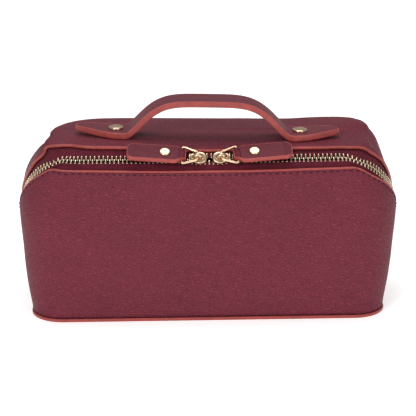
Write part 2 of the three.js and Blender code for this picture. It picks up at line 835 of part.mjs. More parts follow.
// `hand` is -1 for the left slider, whose pull lies towards -X, and 1 for the right one.
function buildSlider(hand, sideName) {
  const slope = new THREE.Group();
  slope.position.copy(chainMiddle).setX(hand * slider.fromMiddle);
  slope.rotation.x = zipLean;
  const facing = new THREE.Group();
  facing.rotation.z = hand > 0 ? Math.PI : 0;
  add(facing, `slider_${sideName}`, sliderGeometry(), paleGold);
  const swing = new THREE.Group();
  swing.position.z = pull.lift;
  swing.rotation.z = hand * THREE.MathUtils.degToRad(pull.skew);
  add(swing, `pull_ring_${sideName}`, ringGeometry(), paleGold);
  add(swing, `pull_tab_${sideName}`, tabGeometry(), wineLeather);
  add(swing, `pull_rivet_${sideName}`, tabRivetGeometry(), paleGold);
  facing.add(swing);
  slope.add(facing);
  return slope;
}

// ---- lid ----
const crownLevel = rowLevels.at(-1);
const lidColumns = wholeRing.slice(0, -1);

const lidShoulder = 4.5; // a level whose section holds the whole handle

// Height of the lid's face over a place in plan.
function lidTop(x, y) {
  let low = lidShoulder;
  let high = lastSection - 0.02;
  for (let i = 0; i < 30; i++) {
    const middle = (low + high) / 2;
    const s = sectionAt(middle);
    const over = Math.abs(x) < s.side && y > -s.front && y < s.rear;
    if (over) low = middle;
    else high = middle;
  }
  return rearwardDrop(sectionAt(low).z, y);
}

// The strap rests on the highest part of the lid across its width.
function strapUnderside(x) {
  const ys = [-1, -0.5, 0, 0.5, 1].map((k) => handle.centreY + (k * handle.footWidth) / 2);
  return Math.max(...ys.map((y) => lidTop(x, y))) + seatGap;
}

// The strap's underside line in the X-Z plane: flat feet and a high arch.
function handleLine(x) {
  const share = Math.min(Math.abs(x) / handle.footInner, 1);
  return strapUnderside(x) + handle.rise * (1 - share ** 4) ** 2;
}

function handleWidthAt(x) {
  const at = Math.abs(x);
  const { footInner, widening, tipFrom } = handle;
  const wide = THREE.MathUtils.lerp(
    handle.gripWidth,
    handle.footWidth,
    smooth(footInner - widening, footInner, at),
  );
  const share = THREE.MathUtils.clamp((at - tipFrom) / (handle.length / 2 - tipFrom), 0, 1);
  return Math.max(wide * Math.sqrt(1 - share ** handle.tipShape), handle.tipWidth);
}

function strapPly(from, thickness) {
  const end = handle.length / 2;
  const { footInner, tipFrom } = handle;
  const half = [
    ...steps(0, footInner / 2, 4),
    ...steps(footInner / 2, footInner, 11),
    ...steps(footInner, tipFrom, 1),
    ...steps(tipFrom, end, 7),
    end,
  ];
  const stations = mirrored(half).map((x) => {
    const slope = (handleLine(x + 0.2) - handleLine(x - 0.2)) / 0.4;
    const normal = new THREE.Vector3(-slope, 0, 1).normalize();
    const under = new THREE.Vector3(x, handle.centreY, handleLine(x)).addScaledVector(normal, from);
    const over = under.clone().addScaledVector(normal, thickness);
    const wide = new THREE.Vector3(0, handleWidthAt(x) / 2, 0);
    return [under.clone().sub(wide), under.clone().add(wide), over.clone().add(wide), over.clone().sub(wide)];
  });
  return barGeometry(stations);
}

function rivetHole(hand, radius) {
  const hole = new THREE.CylinderGeometry(radius, radius, 60, 14);
  return hole.rotateX(Math.PI / 2).translate(hand * handle.rivetAt, handle.centreY, caseHeight);
}

function handleRivet(hand) {
  const seat = handleLine(handle.rivetAt) + 2 * handle.ply + 2 * seatGap + rivet.headLift;
  const foot = lidTop(handle.rivetAt, handle.centreY) - wallDepth - rivet.tail;
  const profile = [
    [0, foot],
    [rivet.shank, foot],
    [rivet.shank, seat],
    [rivet.headRadius, seat],
    [rivet.headRadius, seat + rivet.headRim],
    [rivet.headRadius - rivet.headBevel, seat + rivet.headHeight],
    [0, seat + rivet.headHeight],
  ].map(([r, z]) => new THREE.Vector2(r, z));
  const geometry = new THREE.LatheGeometry(profile, 20).rotateX(Math.PI / 2);
  return geometry.translate(hand * handle.rivetAt, handle.centreY, 0);
}

function rivetBack(hand) {
  const top = lidTop(handle.rivetAt, handle.centreY) - wallDepth - rivet.backGap;
  const profile = [
    [0, top - rivet.backHeight],
    [rivet.backRadius, top - rivet.backHeight],
    [rivet.backRadius, top],
    [0, top],
  ].map(([r, z]) => new THREE.Vector2(r, z));
  const geometry = new THREE.LatheGeometry(profile, 18).rotateX(Math.PI / 2);
  return geometry.translate(hand * handle.rivetAt, handle.centreY, 0);
}

function buildLid() {
  const holes = [rivetHole(-1, handle.holeRadius), rivetHole(1, handle.holeRadius)];
  const crownedPly = (levels, bottom, outer, inner) =>
    plyGeometry({
      columns: lidColumns,
      levels,
      bottom,
      top: () => crownLevel,
      outer,
      inner,
      ring: true,
      crowned: true,
    });
  add(lid, "lid_panel", cut(crownedPly(rowLevels, lidEdge, 0, leather), ...holes), wineLeather);
  const overTape = (around) => {
    const merge = smooth(zipEnd, zipEnd + edgeMerge, Math.abs(around));
    const margin = (zip.hiddenMargin + zip.foamMargin) * (1 - merge);
    return levelAfter(around, lidEdge(around), margin);
  };
  add(lid, "lid_foam", cut(crownedPly(softLevels, overTape, foamDepth, foamDepth + foam), ...holes), foamGrey);
  const overEdge = (around) => levelAfter(around, lidEdge(around), zip.liningMargin);
  add(lid, "lid_lining", cut(crownedPly(softLevels, overEdge, liningDepth, wallDepth), ...holes), liningCloth);
  add(lid, "handle_under_ply", cut(strapPly(0, handle.ply), ...holes), wineLeather);
  add(lid, "handle_top_ply", cut(strapPly(handle.ply + seatGap, handle.ply), ...holes), wineLeather);
  for (const [hand, sideName] of [
    [-1, "left"],
    [1, "right"],
  ]) {
    add(lid, `handle_rivet_${sideName}`, handleRivet(hand), paleGold);
    add(lid, `rivet_back_${sideName}`, rivetBack(hand), paleGold);
  }
}

buildTub();
buildZip();
buildLid();
const jewelleryCase = new THREE.Group();
jewelleryCase.add(tub, lid, buildSlider(-1, "left"), buildSlider(1, "right"));
export default jewelleryCase;
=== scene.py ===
import math

import bmesh
import bpy
import numpy as np
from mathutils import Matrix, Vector


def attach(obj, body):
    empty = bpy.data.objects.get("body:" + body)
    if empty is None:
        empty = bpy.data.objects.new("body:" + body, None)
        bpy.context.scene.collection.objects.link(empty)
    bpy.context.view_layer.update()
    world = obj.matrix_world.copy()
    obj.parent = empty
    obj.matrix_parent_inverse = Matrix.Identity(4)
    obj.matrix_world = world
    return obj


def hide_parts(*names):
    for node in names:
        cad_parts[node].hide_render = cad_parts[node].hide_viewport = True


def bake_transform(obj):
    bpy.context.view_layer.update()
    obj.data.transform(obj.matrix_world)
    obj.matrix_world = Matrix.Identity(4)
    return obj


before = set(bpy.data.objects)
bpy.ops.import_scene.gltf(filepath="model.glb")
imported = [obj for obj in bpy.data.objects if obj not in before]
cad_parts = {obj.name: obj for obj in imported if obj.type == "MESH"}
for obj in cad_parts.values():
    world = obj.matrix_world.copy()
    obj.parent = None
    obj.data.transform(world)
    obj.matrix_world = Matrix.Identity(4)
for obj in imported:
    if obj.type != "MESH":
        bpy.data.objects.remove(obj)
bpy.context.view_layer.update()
mm = 0.001  # the shapes below are worked out in millimetres, and makeMesh turns them into metres

# the case's outer face
case = {"halfWidth": 125, "frontReach": 55, "rearReach": 53, "height": 120, "backDrop": 3.3, "wallFoot": 2.5}
halfWidth, frontReach, rearReach = case["halfWidth"], case["frontReach"], case["rearReach"]
bellyHeight = case["height"] - 40

# from the foot up: level, half width, front reach, rear reach, and the plan radii of front and rear corners
sections = np.array(
    [
        [case["wallFoot"], halfWidth - 7.2, frontReach - 6, rearReach - 4, 21, 21],
        [case["wallFoot"] + 11.5, halfWidth - 5.2, frontReach - 4.5, rearReach - 3, 23, 23],
        [bellyHeight * 0.56, halfWidth - 2, frontReach - 2, rearReach - 1, 26, 26],
        [bellyHeight, halfWidth, frontReach, rearReach, 28, 28],
        [case["height"] - 15.5, halfWidth - 8.6, frontReach - 0.5, rearReach - 2, 27, 35],
        [case["height"] - 7.5, halfWidth - 15.5, frontReach - 7, rearReach - 6.5, 26, 33],
        [case["height"] - 2, halfWidth - 22, frontReach - 14, rearReach - 14.5, 28, 30],
        [case["height"] - 0.4, halfWidth - 54, frontReach - 27.5, rearReach - 26.5, 22, 24],
        [case["height"], 0.5, 0.5, 0.5, 0.4, 0.4],
    ]
)
lastSection = len(sections) - 1
withEnds = np.vstack([2 * sections[0] - sections[1], sections, 2 * sections[-1] - sections[-2]])

# distances round the belly from the middle of the front
bellyCorner = 28
frontHalf = halfWidth - bellyCorner
cornerArc = math.pi / 2 * bellyCorner
frontCornerEnd = frontHalf + cornerArc
sideEnd = frontCornerEnd + frontReach + rearReach - 2 * bellyCorner
rearCornerEnd = sideEnd + cornerArc
rearMiddle = rearCornerEnd + frontHalf


def smooth(low, high, x):
    u = np.clip((np.asarray(x, float) - low) / (high - low), 0, 1)
    return u * u * (3 - 2 * u)


def sectionAt(level):
    level = np.clip(level, 0, lastSection - 1e-6)
    i = np.floor(level).astype(int)
    u = (level - i)[..., None]
    p0, p1, p2, p3 = (withEnds[i + k] for k in range(4))
    out = 0.5 * (
        2 * p1 + (p2 - p0) * u + (2 * p0 - 5 * p1 + 4 * p2 - p3) * u**2 + (3 * p1 - p0 - 3 * p2 + p3) * u**3
    )
    most = np.minimum(out[..., 1], (out[..., 2] + out[..., 3]) / 2) * 0.999
    out[..., 4:] = np.minimum(out[..., 4:], most[..., None])
    return out


# the whole case is a little lower towards the rear
def dropAt(y, z):
    share = (z - case["wallFoot"]) * (y + frontReach) / (case["height"] * (frontReach + rearReach))
    return case["backDrop"] * share


def stillPoint(around, level):
    around, level = np.broadcast_arrays(np.asarray(around, float), np.asarray(level, float))
    a = (around + rearMiddle) % (2 * rearMiddle) - rearMiddle
    hand, a = np.where(a < 0, -1, 1), np.abs(a)
    z, side, front, rear, corner, rearCorner = np.moveaxis(sectionAt(level), -1, 0)
    flat, rearFlat = side - corner, side - rearCorner
    turn = (a - frontHalf) / bellyCorner
    back = (a - sideEnd) / bellyCorner
    share = (a - frontCornerEnd) / (sideEnd - frontCornerEnd)
    spans = [a < frontHalf, a < frontCornerEnd, a < sideEnd, a < rearCornerEnd]
    x = np.select(
        spans,
        [flat * a / frontHalf, flat + corner * np.sin(turn), side, rearFlat + rearCorner * np.cos(back)],
        rearFlat * (1 - (a - rearCornerEnd) / frontHalf),
    )
    y = np.select(
        spans,
        [
            -front,
            -front + corner * (1 - np.cos(turn)),
            -front + corner + (front + rear - corner - rearCorner) * share,
            rear - rearCorner * (1 - np.sin(back)),
        ],
        rear,
    )
    return np.stack([hand * x, y, z - dropAt(y, z)], -1)


def unit(v):
    return v / np.maximum(np.linalg.norm(v, axis=-1, keepdims=True), 1e-9)


def faceNormal(around, level):
    low = np.maximum(np.asarray(level, float) - 0.01, 0)
    high = np.minimum(np.asarray(level, float) + 0.01, lastSection - 0.01)
    side = stillPoint(around + 0.3, level) - stillPoint(around - 0.3, level)
    return unit(np.cross(side, stillPoint(around, high) - stillPoint(around, low)))


sag = {"wave": 0.5, "ripple": 0.3, "lean": 1.5}
slumpedShoulder = {"out": -6.2, "around": -190, "wide": 42, "level": 4.8, "tall": 1.1}
fullShoulder = {"out": 5, "around": 201, "wide": 28, "level": 5.6, "tall": 1.3}


# how far the soft walls stand out from the even shape: slow waves, a slumped left shoulder, a full right one,
# and a top that leans down to the right
def slack(around, level):
    a = (np.asarray(around, float) + rearMiddle) % (2 * rearMiddle) - rearMiddle
    calm = np.maximum(smooth(0.3, 1.2, abs(level - 4.95)), smooth(60, 100, abs(a)))
    calm = calm * (1 - smooth(5.6, 6.2, level)) * smooth(0, 1, level)
    waves = sag["wave"] * np.sin(a / 31 + 1.3) * np.sin(level * 1.9 + 0.4)
    waves = waves + sag["ripple"] * np.sin(a / 14 + 2) * np.sin(level * 3.1)
    total = calm * waves - sag["lean"] * stillPoint(a, level)[..., 0] / 100 * smooth(4.6, 6, level)
    for spot in (slumpedShoulder, fullShoulder):
        across, up = (a - spot["around"]) / spot["wide"], (level - spot["level"]) / spot["tall"]
        total = total + spot["out"] * np.exp(-(across**2) - up**2)
    return total


def ply(around, level, depth=0.0):
    return stillPoint(around, level) + faceNormal(around, level) * (slack(around, level) - depth)[..., None]


levelTable = np.concatenate([np.linspace(0, 7.5, 420), np.linspace(7.5, 7.99, 40)[1:]])


def columnTable(around):
    points = stillPoint(np.asarray(around, float)[:, None], levelTable[None, :])
    steps = np.linalg.norm(np.diff(points, axis=1), axis=2)
    return points[..., 2], np.concatenate([np.zeros((len(points), 1)), np.cumsum(steps, 1)], 1)


def levelAtHeight(around, height):
    heights, _ = columnTable(around)
    height = np.broadcast_to(height, len(heights))
    return np.array([np.interp(h, row, levelTable) for h, row in zip(height, heights)])


def levelAfter(around, level, distance):
    _, arcs = columnTable(around)
    distance = np.broadcast_to(distance, len(arcs))
    return np.array(
        [
            np.interp(np.interp(start, levelTable, row) + far, row, levelTable)
            for start, far, row in zip(level, distance, arcs)
        ]
    )


# the zip's line and the two leather edges beside it
zipLine = {"height": 112.4, "endHeight": 40, "turn": frontHalf + 20, "softness": 12, "sweep": 1.3}
zipLine |= {"end": sideEnd - 4, "merge": 13, "later": 3.5}
strip = {"frontLower": 10, "sideLower": 5, "from": 8.5, "to": 32, "upper": 13.3, "dip": 7.4, "dipReach": 125}
strip |= {"gape": 2.4, "gapeAt": -142, "gapeWide": 14}
foldHeight = 30
seamAt = sideEnd + 8  # the front leather ends here, and the rear leather starts


def chainHeight(around):
    turn = zipLine["turn"] - zipLine["later"] * np.sign(around)  # the left side turns down a little later
    past = np.minimum(np.abs(around), zipLine["end"]) - turn
    soft = zipLine["softness"]
    eased = np.where(past > soft, past, np.maximum(past + soft, 0) ** 2 / (4 * soft))
    share = eased / (zipLine["end"] - turn)
    return zipLine["endHeight"] + (zipLine["height"] - zipLine["endHeight"]) * (1 - share) ** zipLine["sweep"]


def chainLevel(around):
    return levelAtHeight(around, chainHeight(around))


def chainSlant(around):
    return np.hypot(1, chainHeight(around - 0.5) - chainHeight(around + 0.5))


def foldShare(around):
    return smooth(zipLine["end"], zipLine["end"] + zipLine["merge"], np.abs(around))


def tubEdge(around, gap=0.4):
    share = smooth(frontHalf + strip["from"], frontHalf + strip["to"], np.abs(around))
    visible = strip["frontLower"] + (strip["sideLower"] - strip["frontLower"]) * share
    free = levelAfter(around, chainLevel(around), -visible * chainSlant(around))
    return free + (levelAtHeight(around, foldHeight - gap) - free) * foldShare(around)


def lidEdge(around, gap=0.4):
    bow = np.cos(np.minimum(np.abs(around), strip["dipReach"]) / strip["dipReach"] * math.pi / 2) ** 2
    gape = strip["gape"] * np.exp(-(((around - strip["gapeAt"]) / strip["gapeWide"]) ** 2))
    visible = strip["upper"] - strip["dip"] * bow + gape
    free = levelAfter(around, chainLevel(around), visible * chainSlant(around))
    return free + (levelAtHeight(around, foldHeight + gap) - free) * foldShare(around)


# meshes
def makeMesh(name, points, faces, uv=None):
    mesh = bpy.data.meshes.new(name)
    mesh.from_pydata((np.asarray(points, float) * mm).tolist(), [], [list(f) for f in faces])
    if uv is not None:
        layer = mesh.uv_layers.new(name="cloth")
        corners = np.zeros(len(mesh.loops), int)
        mesh.loops.foreach_get("vertex_index", corners)
        layer.data.foreach_set("uv", np.asarray(uv, np.float32)[corners].ravel())
    mesh.shade_smooth()
    obj = bpy.data.objects.new(name, mesh)
    bpy.context.scene.collection.objects.link(obj)
    return obj


def faceOutwards(obj, weld=0.00001):
    b = bmesh.new()
    b.from_mesh(obj.data)
    bmesh.ops.remove_doubles(b, verts=b.verts, dist=weld)
    bmesh.ops.recalc_face_normals(b, faces=b.faces)
    b.to_mesh(obj.data)
    b.free()
    return obj


def gridFaces(wide, tall, start=0, ring=False):
    spans = wide if ring else wide - 1
    return [
        (
            start + i * tall + j,
            start + (i + 1) % wide * tall + j,
            start + (i + 1) % wide * tall + j + 1,
            start + i * tall + j + 1,
        )
        for i in range(spans)
        for j in range(tall - 1)
    ]


# faces of a tube of rings; its two ends are capped unless it closes on itself
def tubeFaces(count, around, ring=False):
    faces = []
    for i in range(count if ring else count - 1):
        near, far = i * around, (i + 1) % count * around
        faces += [(near + k, near + (k + 1) % around, far + (k + 1) % around, far + k) for k in range(around)]
    if not ring:
        faces += [tuple(range(around)), tuple(range((count - 1) * around, count * around))]
    return faces


def levelRows(around, bottom, top, rows):
    _, arcs = columnTable(around)
    shares = np.linspace(0, 1, rows + 1)
    out = []
    for low, high, arc in zip(bottom, top, arcs):
        ends = np.interp([low, high], levelTable, arc)
        out.append(np.interp(ends[0] + (ends[1] - ends[0]) * shares, arc, levelTable))
    return np.array(out)


# a sheet over the face, `depth` under it, with uv in centimetres round the case and up it
def sheetPoints(around, bottom, top, rows, depth):
    levels = levelRows(around, bottom, top, rows)
    wide = np.repeat(around[:, None], rows + 1, 1)
    points = ply(wide, levels, np.full(levels.shape, float(depth)))
    steps = np.linalg.norm(np.diff(points, axis=1), axis=2)
    rise = np.concatenate([np.zeros((len(around), 1)), np.cumsum(steps, 1)], 1)
    return points.reshape(-1, 3), np.stack([wide, rise], -1).reshape(-1, 2) / 10


def thicken(obj, thickness):
    solidify = obj.modifiers.new("thickness", "SOLIDIFY")
    solidify.thickness = thickness * mm
    solidify.offset = -1
    graph = bpy.context.evaluated_depsgraph_get()
    solid = bpy.data.meshes.new_from_object(obj.evaluated_get(graph))
    obj.modifiers.clear()
    obj.data = solid
    return obj


def shell(name, around, bottom, top, rows, depth, thickness, ring=False):
    points, uv = sheetPoints(around, bottom, top, rows, depth)
    obj = makeMesh(name, points, gridFaces(len(around), rows + 1, ring=ring), uv)
    return thicken(obj, thickness)


# place, direction, outward normal and upward side of a line over the face
def lineFrame(around, levelOf):
    here = ply(around, levelOf(around))
    ahead = unit(ply(around + 0.5, levelOf(around + 0.5)) - ply(around - 0.5, levelOf(around - 0.5)))
    out = unit(faceNormal(around, levelOf(around)))
    side = unit(np.cross(out, ahead))
    return here, unit(np.cross(side, out)), out, side


# a tube along stations of place, side and out; its section is a list of (towards side, towards out)
def tubeMesh(name, here, side, out, section, ring=False):
    points = np.concatenate([[h + s * u + o * v for u, v in section] for h, s, o in zip(here, side, out)])
    return faceOutwards(makeMesh(name, points, tubeFaces(len(here), len(section), ring)))


def roundSection(radius, sides=12):
    return [(radius * math.cos(t), radius * math.sin(t)) for t in np.arange(sides) * 2 * math.pi / sides]


# the painted edge of a cut leather: it wraps the cut from the face to the flesh side
def edgeSection(thickness, towards, lap=0.85, swell=0.5):
    angles = np.linspace(-math.pi / 2, math.pi / 2, 9)
    half = thickness / 2 + 0.07
    arc = [(towards * swell * math.cos(t), -thickness / 2 - half * math.sin(t)) for t in angles]
    return [(-towards * lap, 0.05)] + arc + [(-towards * lap, -thickness - 0.05)]


def lathe(name, profile, centre, axis, sides=40):
    axis = np.asarray(axis, float)
    first = unit(np.cross(axis, [0.3, 1, 0.2]))
    second = np.cross(axis, first)
    turns = np.arange(sides) * 2 * math.pi / sides
    rings = [
        np.asarray(centre) + axis * h + r * (np.cos(turns)[:, None] * first + np.sin(turns)[:, None] * second)
        for r, h in profile
    ]
    return faceOutwards(makeMesh(name, np.concatenate(rings), tubeFaces(len(profile), sides)))


def joinAs(name, parts):
    b = bmesh.new()
    for part in parts:
        b.from_mesh(part.data)
        bpy.data.objects.remove(part)
    mesh = bpy.data.meshes.new(name)
    b.to_mesh(mesh)
    b.free()
    obj = bpy.data.objects.new(name, mesh)
    bpy.context.scene.collection.objects.link(obj)
    return obj


# finishes
def ink(red, green, blue):
    channels = [c / 255 for c in (red, green, blue)]
    return [c / 12.92 if c <= 0.04045 else ((c + 0.055) / 1.055) ** 2.4 for c in channels] + [1]


def addNode(tree, kind, **values):
    node = tree.nodes.new(kind)
    for key, value in values.items():
        node.inputs[key.replace("_", " ")].default_value = value
    return node


def newFinish(name, roughness, metallic=0.0, specular=0.5):
    material = bpy.data.materials.new(name)
    material.use_nodes = True
    surface = material.node_tree.nodes["Principled BSDF"]
    surface.inputs["Roughness"].default_value = roughness
    surface.inputs["Metallic"].default_value = metallic
    surface.inputs["Specular IOR Level"].default_value = specular
    return material, material.node_tree, surface


# mixes two colours by a noise of the given size, in metres
def mottle(tree, place, low, high, size, band=(0.35, 0.65)):
    noise = addNode(tree, "ShaderNodeTexNoise", Scale=1 / size, Detail=4, Roughness=0.6)
    ramp = tree.nodes.new("ShaderNodeValToRGB")
    ramp.color_ramp.elements[0].position, ramp.color_ramp.elements[1].position = band
    ramp.color_ramp.elements[0].color, ramp.color_ramp.elements[1].color = low, high
    tree.links.new(place.outputs["Object"], noise.inputs["Vector"])
    tree.links.new(noise.outputs["Fac"], ramp.inputs["Fac"])
    return ramp


def spread(tree, source, low, high):
    band = addNode(tree, "ShaderNodeMapRange", To_Min=low, To_Max=high)
    tree.links.new(source, band.inputs["Value"])
    return band.outputs["Result"]


def leatherFinish(name, tone, pebbleSize=0.0016, pebbleDepth=0.0006, roughness=(0.5, 0.64), crease=None):
    material, tree, surface = newFinish(name, 0.5, specular=0.22)
    place = tree.nodes.new("ShaderNodeTexCoord")
    colour = mottle(tree, place, ink(*[c * 0.975 for c in tone]), ink(*[c * 1.02 for c in tone]), 0.05)
    stretch = addNode(tree, "ShaderNodeMapping", Scale=(0.5, 0.8, 1))  # the pebbles lie longer along the case
    warp = addNode(tree, "ShaderNodeTexNoise", Scale=160, Detail=2)
    bent = tree.nodes.new("ShaderNodeMixRGB")
    bent.blend_type = "ADD"
    bent.inputs["Fac"].default_value = 0.0035
    cells = addNode(tree, "ShaderNodeTexVoronoi", Scale=1 / pebbleSize)
    cells.feature = "DISTANCE_TO_EDGE"
    fine = addNode(tree, "ShaderNodeTexNoise", Scale=2600, Detail=3)
    tree.links.new(place.outputs["Object"], warp.inputs["Vector"])
    tree.links.new(place.outputs["Object"], stretch.inputs["Vector"])
    tree.links.new(stretch.outputs["Vector"], bent.inputs["Color1"])
    tree.links.new(warp.outputs["Color"], bent.inputs["Color2"])
    tree.links.new(bent.outputs["Color"], cells.inputs["Vector"])
    tree.links.new(place.outputs["Object"], fine.inputs["Vector"])
    pebble = addNode(tree, "ShaderNodeMapRange", From_Max=0.28)
    pebble.interpolation_type = "SMOOTHERSTEP"
    tree.links.new(cells.outputs["Distance"], pebble.inputs["Value"])
    grain = addNode(tree, "ShaderNodeMath")
    grain.operation = "MULTIPLY_ADD"
    grain.inputs[1].default_value = 0.22
    tree.links.new(fine.outputs["Fac"], grain.inputs[0])
    tree.links.new(pebble.outputs["Result"], grain.inputs[2])
    height = grain.outputs["Value"]
    if crease:  # a pressed line at this distance from the piece's edge, read from its uv
        cloth = tree.nodes.new("ShaderNodeUVMap")
        parts = tree.nodes.new("ShaderNodeSeparateXYZ")
        away = addNode(tree, "ShaderNodeMath")
        away.operation = "SUBTRACT"
        away.inputs[1].default_value = crease
        size = addNode(tree, "ShaderNodeMath")
        size.operation = "ABSOLUTE"
        line = addNode(tree, "ShaderNodeMapRange", From_Max=0.05, To_Min=-2.4, To_Max=0)
        line.interpolation_type = "SMOOTHSTEP"
        total = addNode(tree, "ShaderNodeMath")
        tree.links.new(cloth.outputs["UV"], parts.inputs["Vector"])
        tree.links.new(parts.outputs["Y"], away.inputs[0])
        tree.links.new(away.outputs["Value"], size.inputs[0])
        tree.links.new(size.outputs["Value"], line.inputs["Value"])
        tree.links.new(line.outputs["Result"], total.inputs[0])
        tree.links.new(height, total.inputs[1])
        height = total.outputs["Value"]
    bump = addNode(tree, "ShaderNodeBump", Strength=0.8, Distance=pebbleDepth)
    tree.links.new(height, bump.inputs["Height"])
    tree.links.new(bump.outputs["Normal"], surface.inputs["Normal"])
    # painted shade: the colour is multiplied darker in the grooves between pebbles, the same places the bump
    # sinks
    shade = tree.nodes.new("ShaderNodeMixRGB")
    shade.blend_type = "MULTIPLY"
    shade.inputs["Fac"].default_value = 0.8
    tree.links.new(colour.outputs["Color"], shade.inputs["Color1"])
    tree.links.new(spread(tree, pebble.outputs["Result"], 0.72, 1), shade.inputs["Color2"])
    tree.links.new(shade.outputs["Color"], surface.inputs["Base Color"])
    tree.links.new(spread(tree, fine.outputs["Fac"], *roughness), surface.inputs["Roughness"])
    return material


def paintFinish(name, tone):
    material, tree, surface = newFinish(name, 0.42)
    place = tree.nodes.new("ShaderNodeTexCoord")
    colour = mottle(tree, place, ink(*[c * 0.86 for c in tone]), ink(*tone), 0.004)
    wave = addNode(tree, "ShaderNodeTexNoise", Scale=900, Detail=2)
    bump = addNode(tree, "ShaderNodeBump", Strength=0.35, Distance=0.0002)
    tree.links.new(place.outputs["Object"], wave.inputs["Vector"])
    tree.links.new(wave.outputs["Fac"], bump.inputs["Height"])
    tree.links.new(bump.outputs["Normal"], surface.inputs["Normal"])
    tree.links.new(colour.outputs["Color"], surface.inputs["Base Color"])
    tree.links.new(spread(tree, wave.outputs["Fac"], 0.34, 0.5), surface.inputs["Roughness"])
    return material


# woven cloth: two crossing waves; uv is in centimetres, or the place itself where there is no uv
def clothFinish(name, tone, threads, depth, slant=0.0, sheen=0.25, byUv=True):
    material, tree, surface = newFinish(name, 0.85, specular=0.25)
    surface.inputs["Sheen Weight"].default_value = sheen
    place = tree.nodes.new("ShaderNodeTexCoord")
    turn = addNode(tree, "ShaderNodeMapping", Rotation=(0, 0, slant))
    tree.links.new(place.outputs["UV" if byUv else "Object"], turn.inputs["Vector"])
    crossing = []
    for direction in "XY":
        wave = addNode(tree, "ShaderNodeTexWave", Scale=threads, Distortion=0.6, Detail=1)
        wave.bands_direction = direction
        tree.links.new(turn.outputs["Vector"], wave.inputs["Vector"])
        crossing.append(wave.outputs["Fac"])
    weave = addNode(tree, "ShaderNodeMath")
    weave.operation = "MAXIMUM"
    tree.links.new(crossing[0], weave.inputs[0])
    tree.links.new(crossing[1], weave.inputs[1])
    bump = addNode(tree, "ShaderNodeBump", Strength=0.7, Distance=depth)
    tree.links.new(weave.outputs["Value"], bump.inputs["Height"])
    tree.links.new(bump.outputs["Normal"], surface.inputs["Normal"])
    colour = mottle(tree, place, ink(*[c * 0.85 for c in tone]), ink(*tone), 0.006)
    # painted shade: the colour is multiplied darker in the low places of the weave, between the threads, the
    # same places the bump sinks
    shade = tree.nodes.new("ShaderNodeMixRGB")
    shade.blend_type = "MULTIPLY"
    shade.inputs["Fac"].default_value = 0.6
    tree.links.new(colour.outputs["Color"], shade.inputs["Color1"])
    tree.links.new(spread(tree, weave.outputs["Value"], 0.5, 1), shade.inputs["Color2"])
    tree.links.new(shade.outputs["Color"], surface.inputs["Base Color"])
    return material


def metalFinish(name, tone, roughness=(0.14, 0.26)):
    material, tree, surface = newFinish(name, 0.2, metallic=1.0)
    place = tree.nodes.new("ShaderNodeTexCoord")
    colour = mottle(tree, place, ink(*[c * 0.93 for c in tone]), ink(*tone), 0.005)
    smear = addNode(tree, "ShaderNodeTexNoise", Scale=700, Detail=3)
    bump = addNode(tree, "ShaderNodeBump", Strength=0.12, Distance=0.0001)
    tree.links.new(place.outputs["Object"], smear.inputs["Vector"])
    tree.links.new(smear.outputs["Fac"], bump.inputs["Height"])
    tree.links.new(bump.outputs["Normal"], surface.inputs["Normal"])
    tree.links.new(colour.outputs["Color"], surface.inputs["Base Color"])
    tree.links.new(spread(tree, smear.outputs["Fac"], *roughness), surface.inputs["Roughness"])
    return material


def plainFinish(name, tone, roughness, size, depth):
    material, tree, surface = newFinish(name, roughness, specular=0.3)
    place = tree.nodes.new("ShaderNodeTexCoord")
    colour = mottle(tree, place, ink(*[c * 0.9 for c in tone]), ink(*tone), size * 4)
    pores = addNode(tree, "ShaderNodeTexNoise", Scale=1 / size, Detail=4)
    bump = addNode(tree, "ShaderNodeBump", Strength=0.5, Distance=depth)
    tree.links.new(place.outputs["Object"], pores.inputs["Vector"])
    tree.links.new(pores.outputs["Fac"], bump.inputs["Height"])
    tree.links.new(bump.outputs["Normal"], surface.inputs["Normal"])
    tree.links.new(colour.outputs["Color"], surface.inputs["Base Color"])
    return material


finish = {
    "case": leatherFinish("pebbled wine leather", (119, 42, 58)),
    "strap": leatherFinish("smooth strap leather", (114, 42, 56), 0.0012, 0.00016, (0.4, 0.54), crease=0.26),
    "pull": leatherFinish("pull leather", (106, 34, 48), 0.0012, 0.00016, (0.44, 0.58)),
    "paint": paintFinish("brick-red edge paint", (166, 66, 60)),
    "tape": clothFinish("zip tape", (108, 26, 46), 14, 0.00025, slant=0.6, sheen=0.0),
    "thread": plainFinish("wine thread", (56, 14, 28), 0.7, 0.0006, 0.0001),
    "teeth": metalFinish("pale gold teeth", (222, 200, 172), (0.2, 0.34)),
    "gold": metalFinish("polished gold", (226, 196, 164), (0.2, 0.32)),
    "lining": clothFinish("lining cloth", (201, 180, 154), 9, 0.0002),
    "pad": clothFinish("divider cloth", (201, 180, 154), 450, 0.0002, byUv=False),
    "foam": plainFinish("padding foam", (216, 211, 203), 0.95, 0.0008, 0.0004),
    "board": plainFinish("stiffening board", (181, 154, 114), 0.9, 0.0012, 0.0002),
}
slots = {"paint": "wine_leather", "case": "wine_leather", "strap": "wine_leather", "pull": "wine_leather"}
slots |= {"tape": "zip_tape", "thread": "zip_tape", "teeth": "gold_metal", "gold": "gold_metal"}
slots |= {"lining": "lining", "pad": "lining", "foam": "foam", "board": "fibreboard"}


# gives a piece its finish, and fixes it to a body, or, where it lies across the fold, only bakes its place in
# and fixes it to neither
def dress(obj, look, onBody, standsFor=(), fold=None):
    obj.data.materials.clear()
    obj.data.materials.append(finish[look])
    if standsFor:
        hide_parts(*([standsFor] if isinstance(standsFor, str) else standsFor))
    if fold:
        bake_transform(obj)
    else:
        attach(obj, onBody)
    return obj


cadLooks = {"foam": "foam", "board": "board", "lining": "lining", "teeth": "teeth", "tape": "tape"}
for nodeName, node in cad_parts.items():
    look = next((v for k, v in cadLooks.items() if k in nodeName), "gold" if "rivet" in nodeName else "case")
    node.data.materials.clear()
    node.data.materials.append(finish[look])
print("finishes ready")

